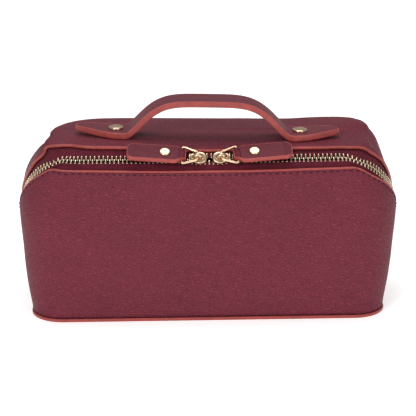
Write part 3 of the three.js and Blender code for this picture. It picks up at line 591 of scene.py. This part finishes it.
# leather shells
leather = {"thickness": 1.8, "plyGap": 0.6, "foam": 2.2, "lining": 0.8}
inset = {"lining": 1.2, "foam": 9}  # from the lid's edge to each ply
foldCloth = {"halfHeight": 12, "thickness": 0.6, "clear": 0.25}
liningDepth = leather["thickness"] + 2 * leather["plyGap"] + leather["foam"]
innerFoot = case["wallFoot"] + 2 + 0.3
foldLine = ((0, 0.0515, 0.026), (0, 0.0515, 0.034))

frontColumns = np.linspace(-seamAt + 0.2, seamAt - 0.2, 210)
frontLeather = shell(
    "front_leather", frontColumns, 0 * frontColumns, tubEdge(frontColumns), 44, 0, leather["thickness"]
)
dress(frontLeather, "case", "tub", "front_panel")

sideHalf = np.linspace(0, seamAt, 104)
rearHalf = np.linspace(seamAt, rearMiddle, 50)[1:]
halfRing = np.concatenate([sideHalf, rearHalf])
ringColumns = np.concatenate([-halfRing[:0:-1], halfRing])[1:]
crownEdge, crownTop = 7.96, 7.99  # levels: the lid's sheets end in a fan of faces about the crown
crownWeld = 0.00004


def lidShell(name, depth, thickness, bottom, rows):
    low = bottom(ringColumns)
    points, uv = sheetPoints(ringColumns, low, np.full(len(low), crownEdge), rows, depth)
    crown = len(points)
    faces = gridFaces(len(ringColumns), rows + 1, ring=True)
    for i in range(len(ringColumns)):
        faces.append((i * (rows + 1) + rows, (i + 1) % len(ringColumns) * (rows + 1) + rows, crown))
    points = np.vstack([points, [0, 0, stillPoint(0, crownTop)[2] - depth]])
    return points, faces, np.vstack([uv, [0, 12]])


def lidLeatherEdge(around):
    return np.where(np.abs(around) >= seamAt - 0.01, levelAtHeight(around, foldHeight), lidEdge(around))


lidPoints, lidFaces, lidUv = lidShell("lid_leather", 0, leather["thickness"], lidLeatherEdge, 62)
rearHalf = np.concatenate([[seamAt], rearHalf])
rearColumns = np.concatenate([rearHalf, 2 * rearMiddle - rearHalf[-2::-1]])
rearPoints, rearUv = sheetPoints(rearColumns, 0 * rearColumns, levelAtHeight(rearColumns, foldHeight), 16, 0)
rearFaces = gridFaces(len(rearColumns), 17, start=len(lidPoints))
lidLeather = makeMesh(
    "lid_and_rear_leather",
    np.vstack([lidPoints, rearPoints]),
    lidFaces + rearFaces,
    np.vstack([lidUv, rearUv]),
)
thicken(faceOutwards(lidLeather, crownWeld), leather["thickness"])
dress(lidLeather, "case", ("tub", "lid"), ("lid_panel", "rear_panel"), foldLine)

edgeColumns = np.linspace(-seamAt + 0.6, seamAt - 0.6, 330)
for name, edge, towards, onBody in [
    ("front_edge_paint", tubEdge, 1, "tub"),
    ("lid_edge_paint", lidEdge, -1, "lid"),
]:
    here, ahead, out, side = lineFrame(edgeColumns, edge)
    dress(tubeMesh(name, here, side, out, edgeSection(leather["thickness"], towards)), "paint", onBody)


# copies of one small shape along stations, as one mesh; the shape's axes are ahead, side and out
def scatter(name, shape, centres, ahead, side, out):
    points, faces = shape
    placed = [
        c + points[:, :1] * x + points[:, 1:2] * y + points[:, 2:] * z
        for c, x, y, z in zip(centres, ahead, side, out)
    ]
    moved = [tuple(v + k * len(points) for v in f) for k in range(len(centres)) for f in faces]
    return makeMesh(name, np.concatenate(placed), moved)


def shapeOf(build):
    b = bmesh.new()
    build(b)
    b.verts.index_update()
    shape = np.array([v.co for v in b.verts]), [[v.index for v in f.verts] for f in b.faces]
    b.free()
    return shape


def stitchShape(b):
    bmesh.ops.create_uvsphere(b, u_segments=10, v_segments=6, radius=1)
    for v in b.verts:
        v.co = Vector((v.co.z * stitch["length"] / 2, v.co.x * stitch["radius"], v.co.y * stitch["radius"]))


stitch = {"pitch": 4.4, "length": 2.6, "radius": 0.42, "inset": 2.5, "sink": 0.02, "reach": 186}


# places at equal steps along a line over the face
def evenSteps(levelOf, low, high, pitch):
    fine = np.linspace(low, high, 1200)
    line = ply(fine, levelOf(fine))
    run = np.concatenate([[0], np.cumsum(np.linalg.norm(np.diff(line, axis=0), axis=1))])
    count = int(run[-1] / pitch)
    return np.interp((run[-1] - count * pitch) / 2 + np.arange(count + 1) * pitch, run, fine)


def stitchRow(name, levelOf, low, high, onBody):
    places = evenSteps(levelOf, low, high, stitch["pitch"])
    here, ahead, out, side = lineFrame(places, levelOf)
    row = scatter(name, shapeOf(stitchShape), here - out * stitch["sink"], ahead, side, out)
    return dress(row, "thread", onBody)


def stitchLine(around):
    return levelAfter(around, tubEdge(around), -stitch["inset"] * chainSlant(around))


stitchRow("front_stitches", stitchLine, -stitch["reach"], stitch["reach"], "tub")
print("leather ready")

# lining, seen when the lid is open
tubLining = shell(
    "tub_lining_cloth",
    ringColumns,
    levelAtHeight(ringColumns, innerFoot),
    tubEdge(ringColumns),
    30,
    liningDepth,
    leather["lining"],
    ring=True,
)
dress(tubLining, "lining", "tub", "tub_lining")


def lidLiningEdge(around):
    return levelAfter(around, lidEdge(around), inset["lining"])


points, faces, uv = lidShell("lid_lining_cloth", liningDepth, leather["lining"], lidLiningEdge, 44)
lidLining = faceOutwards(makeMesh("lid_lining_cloth", points, faces, uv), crownWeld)
thicken(lidLining, leather["lining"])
dress(lidLining, "lining", "lid", "lid_lining")


def lidFoamEdge(around):
    merge = smooth(zipLine["end"] + 3, zipLine["end"] + 16, np.abs(around))
    return levelAfter(around, lidEdge(around), inset["foam"] * (1 - merge))


foamDepth = leather["thickness"] + leather["plyGap"]
points, faces, uv = lidShell("lid_foam_pad", foamDepth, leather["foam"], lidFoamEdge, 34)
lidFoam = thicken(faceOutwards(makeMesh("lid_foam_pad", points, faces, uv), crownWeld), leather["foam"])
dress(lidFoam, "foam", "lid", "lid_foam")

foldColumns = np.linspace(seamAt, 2 * rearMiddle - seamAt, 90)
foldLining = shell(
    "fold_lining",
    foldColumns,
    levelAtHeight(foldColumns, foldHeight - foldCloth["halfHeight"]),
    levelAtHeight(foldColumns, foldHeight + foldCloth["halfHeight"]),
    24,
    liningDepth + leather["lining"] + foldCloth["clear"],
    foldCloth["thickness"],
)
dress(foldLining, "lining", ("tub", "lid"), fold=foldLine)


# flat outlines
def curveThrough(start, middle, end, count=8):
    t = np.linspace(0, 1, count, endpoint=False)[:, None]
    start, middle, end = (np.asarray(p, float) for p in (start, middle, end))
    return (1 - t) ** 2 * start + 2 * t * (1 - t) * middle + t**2 * end


def arcRound(centre, radius, fromDegrees, toDegrees, count=12):
    t = np.radians(np.linspace(fromDegrees, toDegrees, count))
    return np.stack([centre[0] + radius * np.cos(t), centre[1] + radius * np.sin(t)], 1)


# outward directions of a closed outline that runs anticlockwise
def outlineSides(outline):
    ahead = unit(np.roll(outline, -1, 0) - np.roll(outline, 1, 0))
    return np.stack([ahead[:, 1], -ahead[:, 0]], 1)


# a plate from an outline, with rounded rims; rings is a list of (inset, height)
def plate(name, outline, rings, place=None):
    sides = outlineSides(outline)
    flat = [outline - sides * inward for inward, _ in rings]
    heights = np.repeat([height for _, height in rings], len(outline))
    points = np.column_stack([np.concatenate(flat), heights])
    faces = tubeFaces(len(rings), len(outline))
    uv = np.column_stack([points[:, 0] / 10, np.tile(0 * outline[:, 0], len(rings))])
    return faceOutwards(makeMesh(name, points if place is None else place(points), faces, uv))


def roundedRings(low, high, radius, steps=4):
    turns = np.linspace(0, math.pi / 2, steps)
    under = [(radius * (1 - math.sin(t)), low + radius * (1 - math.cos(t))) for t in turns]
    over = [(radius * (1 - math.cos(t)), high - radius * (1 - math.sin(t))) for t in turns]
    return under + over


# edge paint round a plate: a bead whose section wraps from the upper face to the lower one
def rimBead(name, outline, low, high, swell=0.4, lap=0.5, place=None):
    middle, half = (low + high) / 2, (high - low) / 2 + 0.06
    angles = np.linspace(-math.pi / 2, math.pi / 2, 9)
    section = [(-lap, -half)] + [(swell * math.cos(t), half * math.sin(t)) for t in angles] + [(-lap, half)]
    here = np.column_stack([outline, np.full(len(outline), middle)])
    side = np.column_stack([outlineSides(outline), np.zeros(len(outline))])
    out = np.tile([0.0, 0, 1], (len(outline), 1))
    if place is not None:
        origin = place(np.zeros((1, 3)))
        here, side, out = place(here), place(side) - origin, place(out) - origin
    return tubeMesh(name, here, side, out, section, ring=True)


# base
base = {"thickness": 2.2, "lip": 0.8}


def baseOutline(grow):
    _, sideReach, front, rear, corner, _ = sections[0] + [0, grow, grow, grow, grow, grow]
    x, low, high = sideReach - corner, -front + corner, rear - corner
    arcs = [((x, low), -90), ((x, high), 0), ((-x, high), 90), ((-x, low), 180)]
    return np.concatenate([arcRound(centre, corner, turn, turn + 90, 16) for centre, turn in arcs])


baseEdge = baseOutline(base["lip"] - 0.3)
baseLeather = plate("base_leather", baseEdge, roundedRings(0.02, base["thickness"], 0.3))
dress(baseLeather, "case", "tub", "base_panel")
basePaint = rimBead("base_edge_paint", baseEdge, 0.1, base["thickness"] - 0.05)
dress(basePaint, "paint", "tub")
baseCloth = plate("base_lining_cloth", baseOutline(-liningDepth - 1.4), roundedRings(4.8, 5.7, 0.3))
dress(baseCloth, "lining", "tub", "base_lining")

# padded divider
divider = {"at": 42, "thickness": 6, "height": 78, "clear": 0.9}
dividerHeights = np.linspace(innerFoot + 1.2, divider["height"], 14)
reach = np.full(len(dividerHeights), liningDepth + leather["lining"] + divider["clear"])


def wallY(around):
    places = np.full(len(dividerHeights), float(around))
    return ply(places, levelAtHeight(places, dividerHeights), reach)[:, 1]


dividerFront, dividerRear = wallY(divider["at"]), wallY(rearMiddle - divider["at"])
dividerOutline = np.vstack(
    [np.column_stack([dividerRear, dividerHeights]), np.column_stack([dividerFront, dividerHeights])[::-1]]
)[::-1]


def standUp(points):
    return np.column_stack([points[:, 2] + divider["at"], points[:, 0], points[:, 1]])


half = divider["thickness"] / 2
dividerPad = plate("divider_pad", dividerOutline, roundedRings(-half, half, 2.4, 7), standUp)
dress(dividerPad, "pad", "tub", "divider")
print("lining and base ready")

# zip tapes and teeth
zipper = {"tapeDepth": 2.4, "tape": 0.8, "hidden": 7, "tapeStart": 1.3, "middle": 2.5}
zipper |= {"cord": 0.85, "cordAt": 3.6}
tooth = {"pitch": 2.8, "length": 1.15, "reach": 3.4, "thickness": 2.3, "tip": 0.45, "rounding": 0.34}
tooth |= {"parted": 1.25, "partedTo": 10.5, "meshedFrom": 17}  # the rows part between the two sliders
tapeColumns = np.linspace(-zipLine["end"] - 3, zipLine["end"] + 3, 300)


def tapeShell(name, towards):
    chain = chainLevel(tapeColumns)
    near = levelAfter(tapeColumns, chain, towards * zipper["tapeStart"] * chainSlant(tapeColumns))
    edge = lidEdge(tapeColumns) if towards > 0 else tubEdge(tapeColumns)
    far = levelAfter(tapeColumns, edge, towards * zipper["hidden"])
    low, high = (near, far) if towards > 0 else (far, near)
    return shell(name, tapeColumns, low, high, 9, zipper["tapeDepth"], zipper["tape"])


def toothShape(b):
    bmesh.ops.create_cube(b, size=1)
    for v in b.verts:
        v.co = Vector((v.co.x * tooth["length"], v.co.y * tooth["reach"], v.co.z * tooth["thickness"]))
    bmesh.ops.bevel(b, geom=list(b.edges), offset=tooth["rounding"], segments=2, profile=0.5, affect="EDGES")
    for v in b.verts:  # the tip, at low y, is narrower than the foot
        share = v.co.y / tooth["reach"] + 0.5
        v.co.x *= 0.78 + 0.3 * share
        v.co.z *= 0.86 + 0.14 * share


def zipSide(sideName, towards, onBody):
    dress(tapeShell(f"zip_tape_cloth_{sideName}", towards), "tape", onBody, f"zip_tape_{sideName}")
    here, ahead, out, side = lineFrame(tapeColumns, chainLevel)
    cordLine = here + side * towards * zipper["cordAt"] - out * (zipper["tapeDepth"] + 0.25)
    cord = tubeMesh(f"zip_cord_{sideName}", cordLine, side, out, roundSection(zipper["cord"], 10))
    dress(cord, "tape", onBody)
    places = evenSteps(chainLevel, -zipLine["end"] + 3, zipLine["end"] - 3, tooth["pitch"] / 2)
    places = places[0 if towards > 0 else 1 :: 2]
    here, ahead, out, side = lineFrame(places, chainLevel)
    away = tooth["parted"] * (1 - smooth(tooth["partedTo"], tooth["meshedFrom"], np.abs(places)))[:, None]
    centres = here + side * towards * (tooth["reach"] / 2 - tooth["tip"] + away) - out * zipper["middle"]
    row = scatter(f"zip_teeth_metal_{sideName}", shapeOf(toothShape), centres, ahead, side * towards, out)
    dress(faceOutwards(row, 0.0000001), "teeth", onBody, f"zip_teeth_{sideName}")


zipSide("tub", -1, "tub")
zipSide("lid", 1, "lid")

# end gussets, where the zip stops low on each side
gusset = {"length": 13.5, "proud": 0.7, "thickness": 1.6, "gap": 1.0}
for hand, sideName in ((-1, "left"), (1, "right")):
    columns = zipLine["end"] + gusset["length"] * np.linspace(-1 / 3, 2 / 3, 26)
    columns = np.sort(hand * columns)
    low = levelAfter(columns, tubEdge(columns), gusset["gap"])
    high = levelAfter(columns, lidEdge(columns), -gusset["gap"])
    piece = shell(f"zip_gusset_{sideName}", columns, low, high, 18, -gusset["proud"], gusset["thickness"])
    dress(piece, "case", "tub", f"zip_end_tab_{sideName}")
print("zip ready")

# sliders and pulls, on the zip's slope
slope = {"middle": stillPoint(0.0, chainLevel(np.array([0.0]))[0])}
slope["out"] = faceNormal(0.0, chainLevel(np.array([0.0]))[0])
slope["up"] = np.cross(slope["out"], [1, 0, 0])
slider = {"length": 12, "width": 9, "tail": 6.4, "fromMiddle": 7.7}
slider |= {"upper": (-0.7, 0.65), "lower": (-5.6, -4.65)}  # heights of its two wings
pull = {"wire": 1.5, "length": 10.5, "inner": 6.4, "outer": 14.2, "lift": 2.2, "lean": 5, "roll": 9}
tab = {"length": 38, "width": 13.6, "leather": 1.5, "nose": 4.6, "waist": 4.2, "roll": 20}
tab |= {"rivetAt": 11, "rivetRadius": 3.565, "rivetHeight": 1.1}


def onSlope(hand, lifted=False, roll=0.0):
    turn = math.radians(pull["lean"] * hand) if lifted else 0
    tip = math.radians(roll * hand)  # the upper long side tips back over the lid

    def place(points):
        across = points[:, 1] * math.cos(tip) - points[:, 2] * math.sin(tip)
        x = points[:, 0] * math.cos(turn) - across * math.sin(turn)
        y = points[:, 0] * math.sin(turn) + across * math.cos(turn)
        z = points[:, 1] * math.sin(tip) + points[:, 2] * math.cos(tip) + (pull["lift"] if lifted else 0)
        if hand > 0:
            x, y = -x, -y
        start = slope["middle"] + [hand * slider["fromMiddle"], 0, 0]
        return start + x[:, None] * [1, 0, 0] + y[:, None] * slope["up"] + z[:, None] * slope["out"]

    return place


def wingOutline(grow=0.0):
    reach, mouth, tail = slider["length"] / 2 + grow, slider["width"] / 2 + grow, slider["tail"] / 2 + grow
    lower = [
        curveThrough((-reach, -tail), (-1, -tail), (0, -mouth)),
        curveThrough((0, -mouth), (reach, -mouth), (reach, 0)),
        curveThrough((reach, 0), (reach, mouth), (0, mouth)),
        curveThrough((0, mouth), (-1, tail), (-reach, tail)),
    ]
    return np.concatenate(lower + [[[-reach, tail]]])


def sliderPieces(hand):
    place = onSlope(hand)
    low, high = slider["upper"]
    crown = roundedRings(low, high - 0.3, 0.3)[:-1] + [(0.12, high - 0.2), (0.7, high), (1.3, high + 0.08)]
    upper = plate("upper", wingOutline(), crown, place)
    lower = plate("lower", wingOutline(), roundedRings(*slider["lower"], 0.35), place)
    post = np.array([[-1.5, -0.5], [3.5, -0.5], [3.5, 0.5], [-1.5, 0.5]])
    neck = plate("neck", post, [(0, slider["lower"][1] - 0.2), (0, low + 0.2)], place)
    t = np.linspace(0, math.pi, 30)
    arch = np.column_stack([-3.3 * np.cos(t), 0 * t, high - 0.35 + 3.55 * np.sin(t) ** 0.85])
    ahead = unit(np.gradient(arch, axis=0))
    out = np.column_stack([-ahead[:, 2], 0 * t, ahead[:, 0]])
    across = np.tile([0.0, 1, 0], (len(t), 1))
    angles = np.linspace(0, 2 * math.pi, 14, endpoint=False)
    section = [(1.15 * math.cos(a), 0.55 * math.sin(a)) for a in angles]
    origin = place(np.zeros((1, 3)))
    bridge = tubeMesh("bridge", place(arch), place(across) - origin, place(out) - origin, section)
    return [upper, lower, neck, bridge]


def ringOutline():
    inner, outer, far = pull["inner"] / 2, pull["outer"] / 2, -pull["length"]
    corners = np.array([[0, -inner], [0, inner], [far, outer], [far, -outer]])
    path = []
    for i in range(4):
        before, corner, after = corners[i - 1], corners[i], corners[(i + 1) % 4]
        start, end = corner + (before - corner) * 0.2, corner + (after - corner) * 0.2
        path.append(curveThrough(start, corner, end, 7))
        path.append(corner + (after - corner) * np.linspace(0.2, 0.8, 8, endpoint=False)[:, None])
    return np.concatenate(path)[::-1]


def tabOutline():
    start = -pull["length"] + pull["wire"] / 2 + 0.3 + tab["leather"]
    end = start - tab["length"]
    half, waist, nose = tab["width"] / 2, tab["waist"], tab["nose"]
    upper = [
        np.array([[start, waist]]),
        curveThrough((start - 3.2, waist), (start - 5, half), (start - 8, half)),
        np.column_stack([np.linspace(start - 8, end + nose, 16), np.full(16, half)]),
        curveThrough((end + nose, half), (end, half), (end, half - nose), 12),
        np.column_stack([np.full(4, end), np.linspace(half - nose, 0, 4)]),
    ]
    upper = np.concatenate(upper)
    lower = (upper * [1, -1])[::-1]
    return np.vstack([upper, lower[1:]])


def tabPieces(hand):
    place = onSlope(hand, lifted=True, roll=tab["roll"])
    outline, half = tabOutline(), tab["leather"] + 0.05
    body = plate("body", outline, roundedRings(-half, half, 0.35), place)
    paint = rimBead("paint", outline, -half, half, swell=0.32, lap=0.3, place=place)
    radius = pull["wire"] / 2 + 0.25 + tab["leather"]
    t = np.arange(24) * math.pi / 12
    x, z = -pull["length"] + radius * np.cos(t), radius * np.sin(t)
    loop = np.concatenate([np.column_stack([x, 0 * t + y, z]) for y in (-tab["waist"], tab["waist"])])
    swell = faceOutwards(makeMesh("loop", place(loop), tubeFaces(2, len(t))))
    return [body, swell], paint


def rivetProfile(radius, height):
    return [
        (radius * 0.55, -1.1),
        (radius * 0.55, 0),
        (radius * 0.96, 0),
        (radius, height * 0.35),
        (radius * 0.93, height * 0.72),
        (radius * 0.78, height * 0.92),
        (radius * 0.68, height * 0.86),
        (radius * 0.62, height * 0.78),
        (radius * 0.4, height * 0.95),
        (radius * 0.05, height),
    ]


def buildSlider(hand, sideName):
    metal = joinAs(f"slider_metal_{sideName}", sliderPieces(hand))
    dress(metal, "gold", f"slider_{sideName}", f"slider_{sideName}")
    place = onSlope(hand, lifted=True, roll=pull["roll"])
    origin = place(np.zeros((1, 3)))
    outline = ringOutline()
    here = place(np.column_stack([outline, 0 * outline[:, 0]]))
    side = place(np.column_stack([outlineSides(outline), 0 * outline[:, 0]])) - origin
    out = place(np.tile([0.0, 0, 1], (len(outline), 1))) - origin
    ring = tubeMesh(f"pull_wire_{sideName}", here, side, out, roundSection(pull["wire"] / 2), ring=True)
    dress(ring, "gold", f"pull_ring_{sideName}", f"pull_ring_{sideName}")
    parts, paint = tabPieces(hand)
    dress(joinAs(f"pull_leather_{sideName}", parts), "pull", f"pull_tab_{sideName}", f"pull_tab_{sideName}")
    paint.name = f"pull_edge_paint_{sideName}"
    dress(paint, "paint", f"pull_tab_{sideName}")
    place = onSlope(hand, lifted=True, roll=tab["roll"])
    rivetX = -pull["length"] - tab["rivetAt"]
    foot, above = place(np.array([[rivetX, 0, tab["leather"] + 0.05], [rivetX, 0, 20]]))
    profile = rivetProfile(tab["rivetRadius"], tab["rivetHeight"])
    rivet = lathe(f"pull_stud_{sideName}", profile, foot, unit(above - foot))
    dress(rivet, "gold", f"pull_tab_{sideName}", f"pull_rivet_{sideName}")


buildSlider(-1, "left")
buildSlider(1, "right")
print("sliders ready")

# strap handle
handle = {"length": 174, "grip": 20.6, "foot": 23.4, "ply": 1.8, "y": -19, "rise": 21.9, "leaves": 55.5}
handle |= {"widening": 10, "tipFrom": 57, "tipShape": 1.5, "turned": 2.2, "tipLift": 1.5, "tipBack": 5}
handle |= {"rivetAt": 60.7, "rivetRadius": 5.1, "rivetHeight": 1.75}
handleGap = 0.3
handleSlope = math.tan(math.radians(handle["turned"]))  # the strap is sewn on a little askew


def lidTop(x, y):
    low, high = np.full(np.shape(x), 4.5), np.full(np.shape(x), lastSection - 0.02)
    for _ in range(30):
        middle = (low + high) / 2
        row = sectionAt(middle)
        inside = (np.abs(x) < row[..., 1]) & (y > -row[..., 2]) & (y < row[..., 3])
        low, high = np.where(inside, middle, low), np.where(inside, high, middle)
    z = sectionAt(low)[..., 0]
    return z - dropAt(y, z)


def strapLine(x):
    under = np.max([lidTop(x, handle["y"] + k * handle["foot"]) for k in (-0.5, -0.25, 0, 0.25, 0.5)], axis=0)
    share = np.minimum(np.abs(x) / handle["leaves"], 1)
    lift = handle["tipLift"] * smooth(handle["rivetAt"], handle["length"] / 2, np.abs(x))
    lift = lift - sag["lean"] * x / 100
    return under + lift + handleGap + handle["rise"] * (1 - share**4.6) ** 2.5


def strapHalfWidth(x):
    at = np.abs(x)
    climb = smooth(handle["leaves"] - handle["widening"], handle["leaves"], at)
    wide = handle["grip"] + (handle["foot"] - handle["grip"]) * climb
    share = np.clip((at - handle["tipFrom"]) / (handle["length"] / 2 - handle["tipFrom"]), 0, 1)
    return wide / 2 * np.sqrt(np.maximum(1 - share ** handle["tipShape"], 0.0004))


def strapFrames(x):
    z = strapLine(x)
    rise = (strapLine(x + 0.2) - strapLine(x - 0.2)) / 0.4
    out = unit(np.column_stack([-rise, 0 * x, 1 + 0 * x]))
    back = handle["tipBack"] * smooth(handle["leaves"], handle["length"] / 2, np.abs(x))
    return np.column_stack([x, handle["y"] + back - x * handleSlope, z]), out


def strapPly(name, low, high):
    ends = handle["length"] / 2
    turns = np.linspace(-math.pi / 2, math.pi / 2, 190)
    x = np.concatenate([[-ends + 0.02], ends * np.sin(turns)[1:-1], [ends - 0.02]])
    here, out = strapFrames(x)
    wide = strapHalfWidth(x)
    across = np.concatenate([np.linspace(-1, 1, 15), np.linspace(1, -1, 15)])
    heights = np.concatenate([np.full(15, high), np.full(15, low)])
    dome = np.concatenate([0.14 * (1 - np.linspace(-1, 1, 15) ** 2), np.zeros(15)])
    points, uv = [], []
    for h, o, w in zip(here, out, wide):
        for u, v, d in zip(across, heights, dome):
            points.append(h + np.array([0, u * w, 0]) + o * (v + d))
            uv.append((h[0] / 10, w * (1 - abs(u)) / 10))
    return faceOutwards(makeMesh(name, points, tubeFaces(len(x), len(across)), uv))


thick = 2 * handle["ply"] + handleGap
dress(strapPly("handle_upper_leather", handle["ply"] + 0.1, thick), "strap", "lid", "handle_top_ply")
dress(strapPly("handle_under_leather", 0.0, handle["ply"] + 0.12), "strap", "lid", "handle_under_ply")


def strapEdge(name, low, high, swell):
    ends = handle["length"] / 2
    turns = np.linspace(-math.pi / 2, math.pi / 2, 240)
    x = ends * np.sin(turns)
    hand = np.concatenate([-np.ones(len(x)), np.ones(len(x) - 2)])  # out by one long side, back by the other
    tip = len(x) - 1
    x = np.concatenate([x, x[-2:0:-1]])
    wide = strapHalfWidth(x)
    wide[[0, tip]] = 0
    here, out = strapFrames(x)
    here = here + np.column_stack([0 * x, hand * wide, 0 * x]) + out * (low + high) / 2
    ahead = unit(np.roll(here, -1, 0) - np.roll(here, 1, 0))
    side = unit(np.cross(ahead, out))
    half = (high - low) / 2 + 0.06
    angles = np.linspace(-math.pi / 2, math.pi / 2, 17)
    seam = 0.1 * np.exp(-((angles / 0.12) ** 2))  # faint, between the two plies
    swells = swell * np.cos(angles) ** 0.6 - seam
    section = [(-0.5, -half)] + [(u, half * math.sin(t)) for u, t in zip(swells, angles)] + [(-0.5, half)]
    return tubeMesh(name, here, side, out, section, ring=True)


dress(strapEdge("handle_edge_paint", 0.0, thick, 0.42), "paint", "lid")
for hand, sideName in ((-1, "left"), (1, "right")):
    centre, out = strapFrames(np.array([hand * handle["rivetAt"]]))
    profile = rivetProfile(handle["rivetRadius"], handle["rivetHeight"])
    head = lathe(f"handle_stud_{sideName}", profile, centre[0] + out[0] * (thick + 0.1), out[0])
    dress(head, "gold", "lid", f"handle_rivet_{sideName}")
print("handle ready")

# studio
floorCorners = [[-9000, -4000, 0], [9000, -4000, 0], [9000, 14000, 0], [-9000, 14000, 0]]
floor = makeMesh("floor", floorCorners, [(0, 1, 2, 3)])
floorFinish, _, floorSurface = newFinish("pale floor", 0.9, specular=0.1)
floorSurface.inputs["Base Color"].default_value = (0.95, 0.95, 0.95, 1)
floorSurface.inputs["Emission Color"].default_value = (1, 1, 1, 1)
floorSurface.inputs["Emission Strength"].default_value = 0.45
floor.data.materials.append(floorFinish)

world = bpy.data.worlds.new("studio")
bpy.context.scene.world = world
world.use_nodes = True
world.node_tree.nodes["Background"].inputs["Color"].default_value = (1, 1, 1, 1)
world.node_tree.nodes["Background"].inputs["Strength"].default_value = 0.36
bpy.context.scene.view_settings.view_transform = "Standard"


def softLight(name, place, aim, size, power):
    data = bpy.data.lights.new(name, "AREA")
    data.size, data.energy = size, power
    lamp = bpy.data.objects.new(name, data)
    bpy.context.scene.collection.objects.link(lamp)
    lamp.location = place
    lamp.rotation_mode = "QUATERNION"
    lamp.rotation_quaternion = (Vector(aim) - Vector(place)).to_track_quat("-Z", "Y")


softLight("key light", (-0.7, -1.3, 1.0), (0, 0, 0.06), 0.6, 11.5)
softLight("fill light", (0.8, -1.3, 0.7), (0, 0, 0.06), 0.8, 5.5)
softLight("top light", (0.0, 0.3, 1.4), (0, 0, 0.08), 0.8, 8)

camera = {"target": (0.001, 0.0025, 0.0617), "distance": 1.3, "elevation": 18, "turn": -2.37, "lens": 165.0}
eye = bpy.data.objects.new("eye", bpy.data.cameras.new("eye"))
bpy.context.scene.collection.objects.link(eye)
bpy.context.scene.camera = eye
raised, turned = math.radians(camera["elevation"]), math.radians(camera["turn"])
back = Vector((math.sin(turned) * math.cos(raised), -math.cos(turned) * math.cos(raised), math.sin(raised)))
eye.location = Vector(camera["target"]) + back * camera["distance"]
eye.rotation_mode = "QUATERNION"
eye.rotation_quaternion = (-back).to_track_quat("-Z", "Y")
eye.data.lens, eye.data.sensor_width = camera["lens"], 36

print("studio ready")
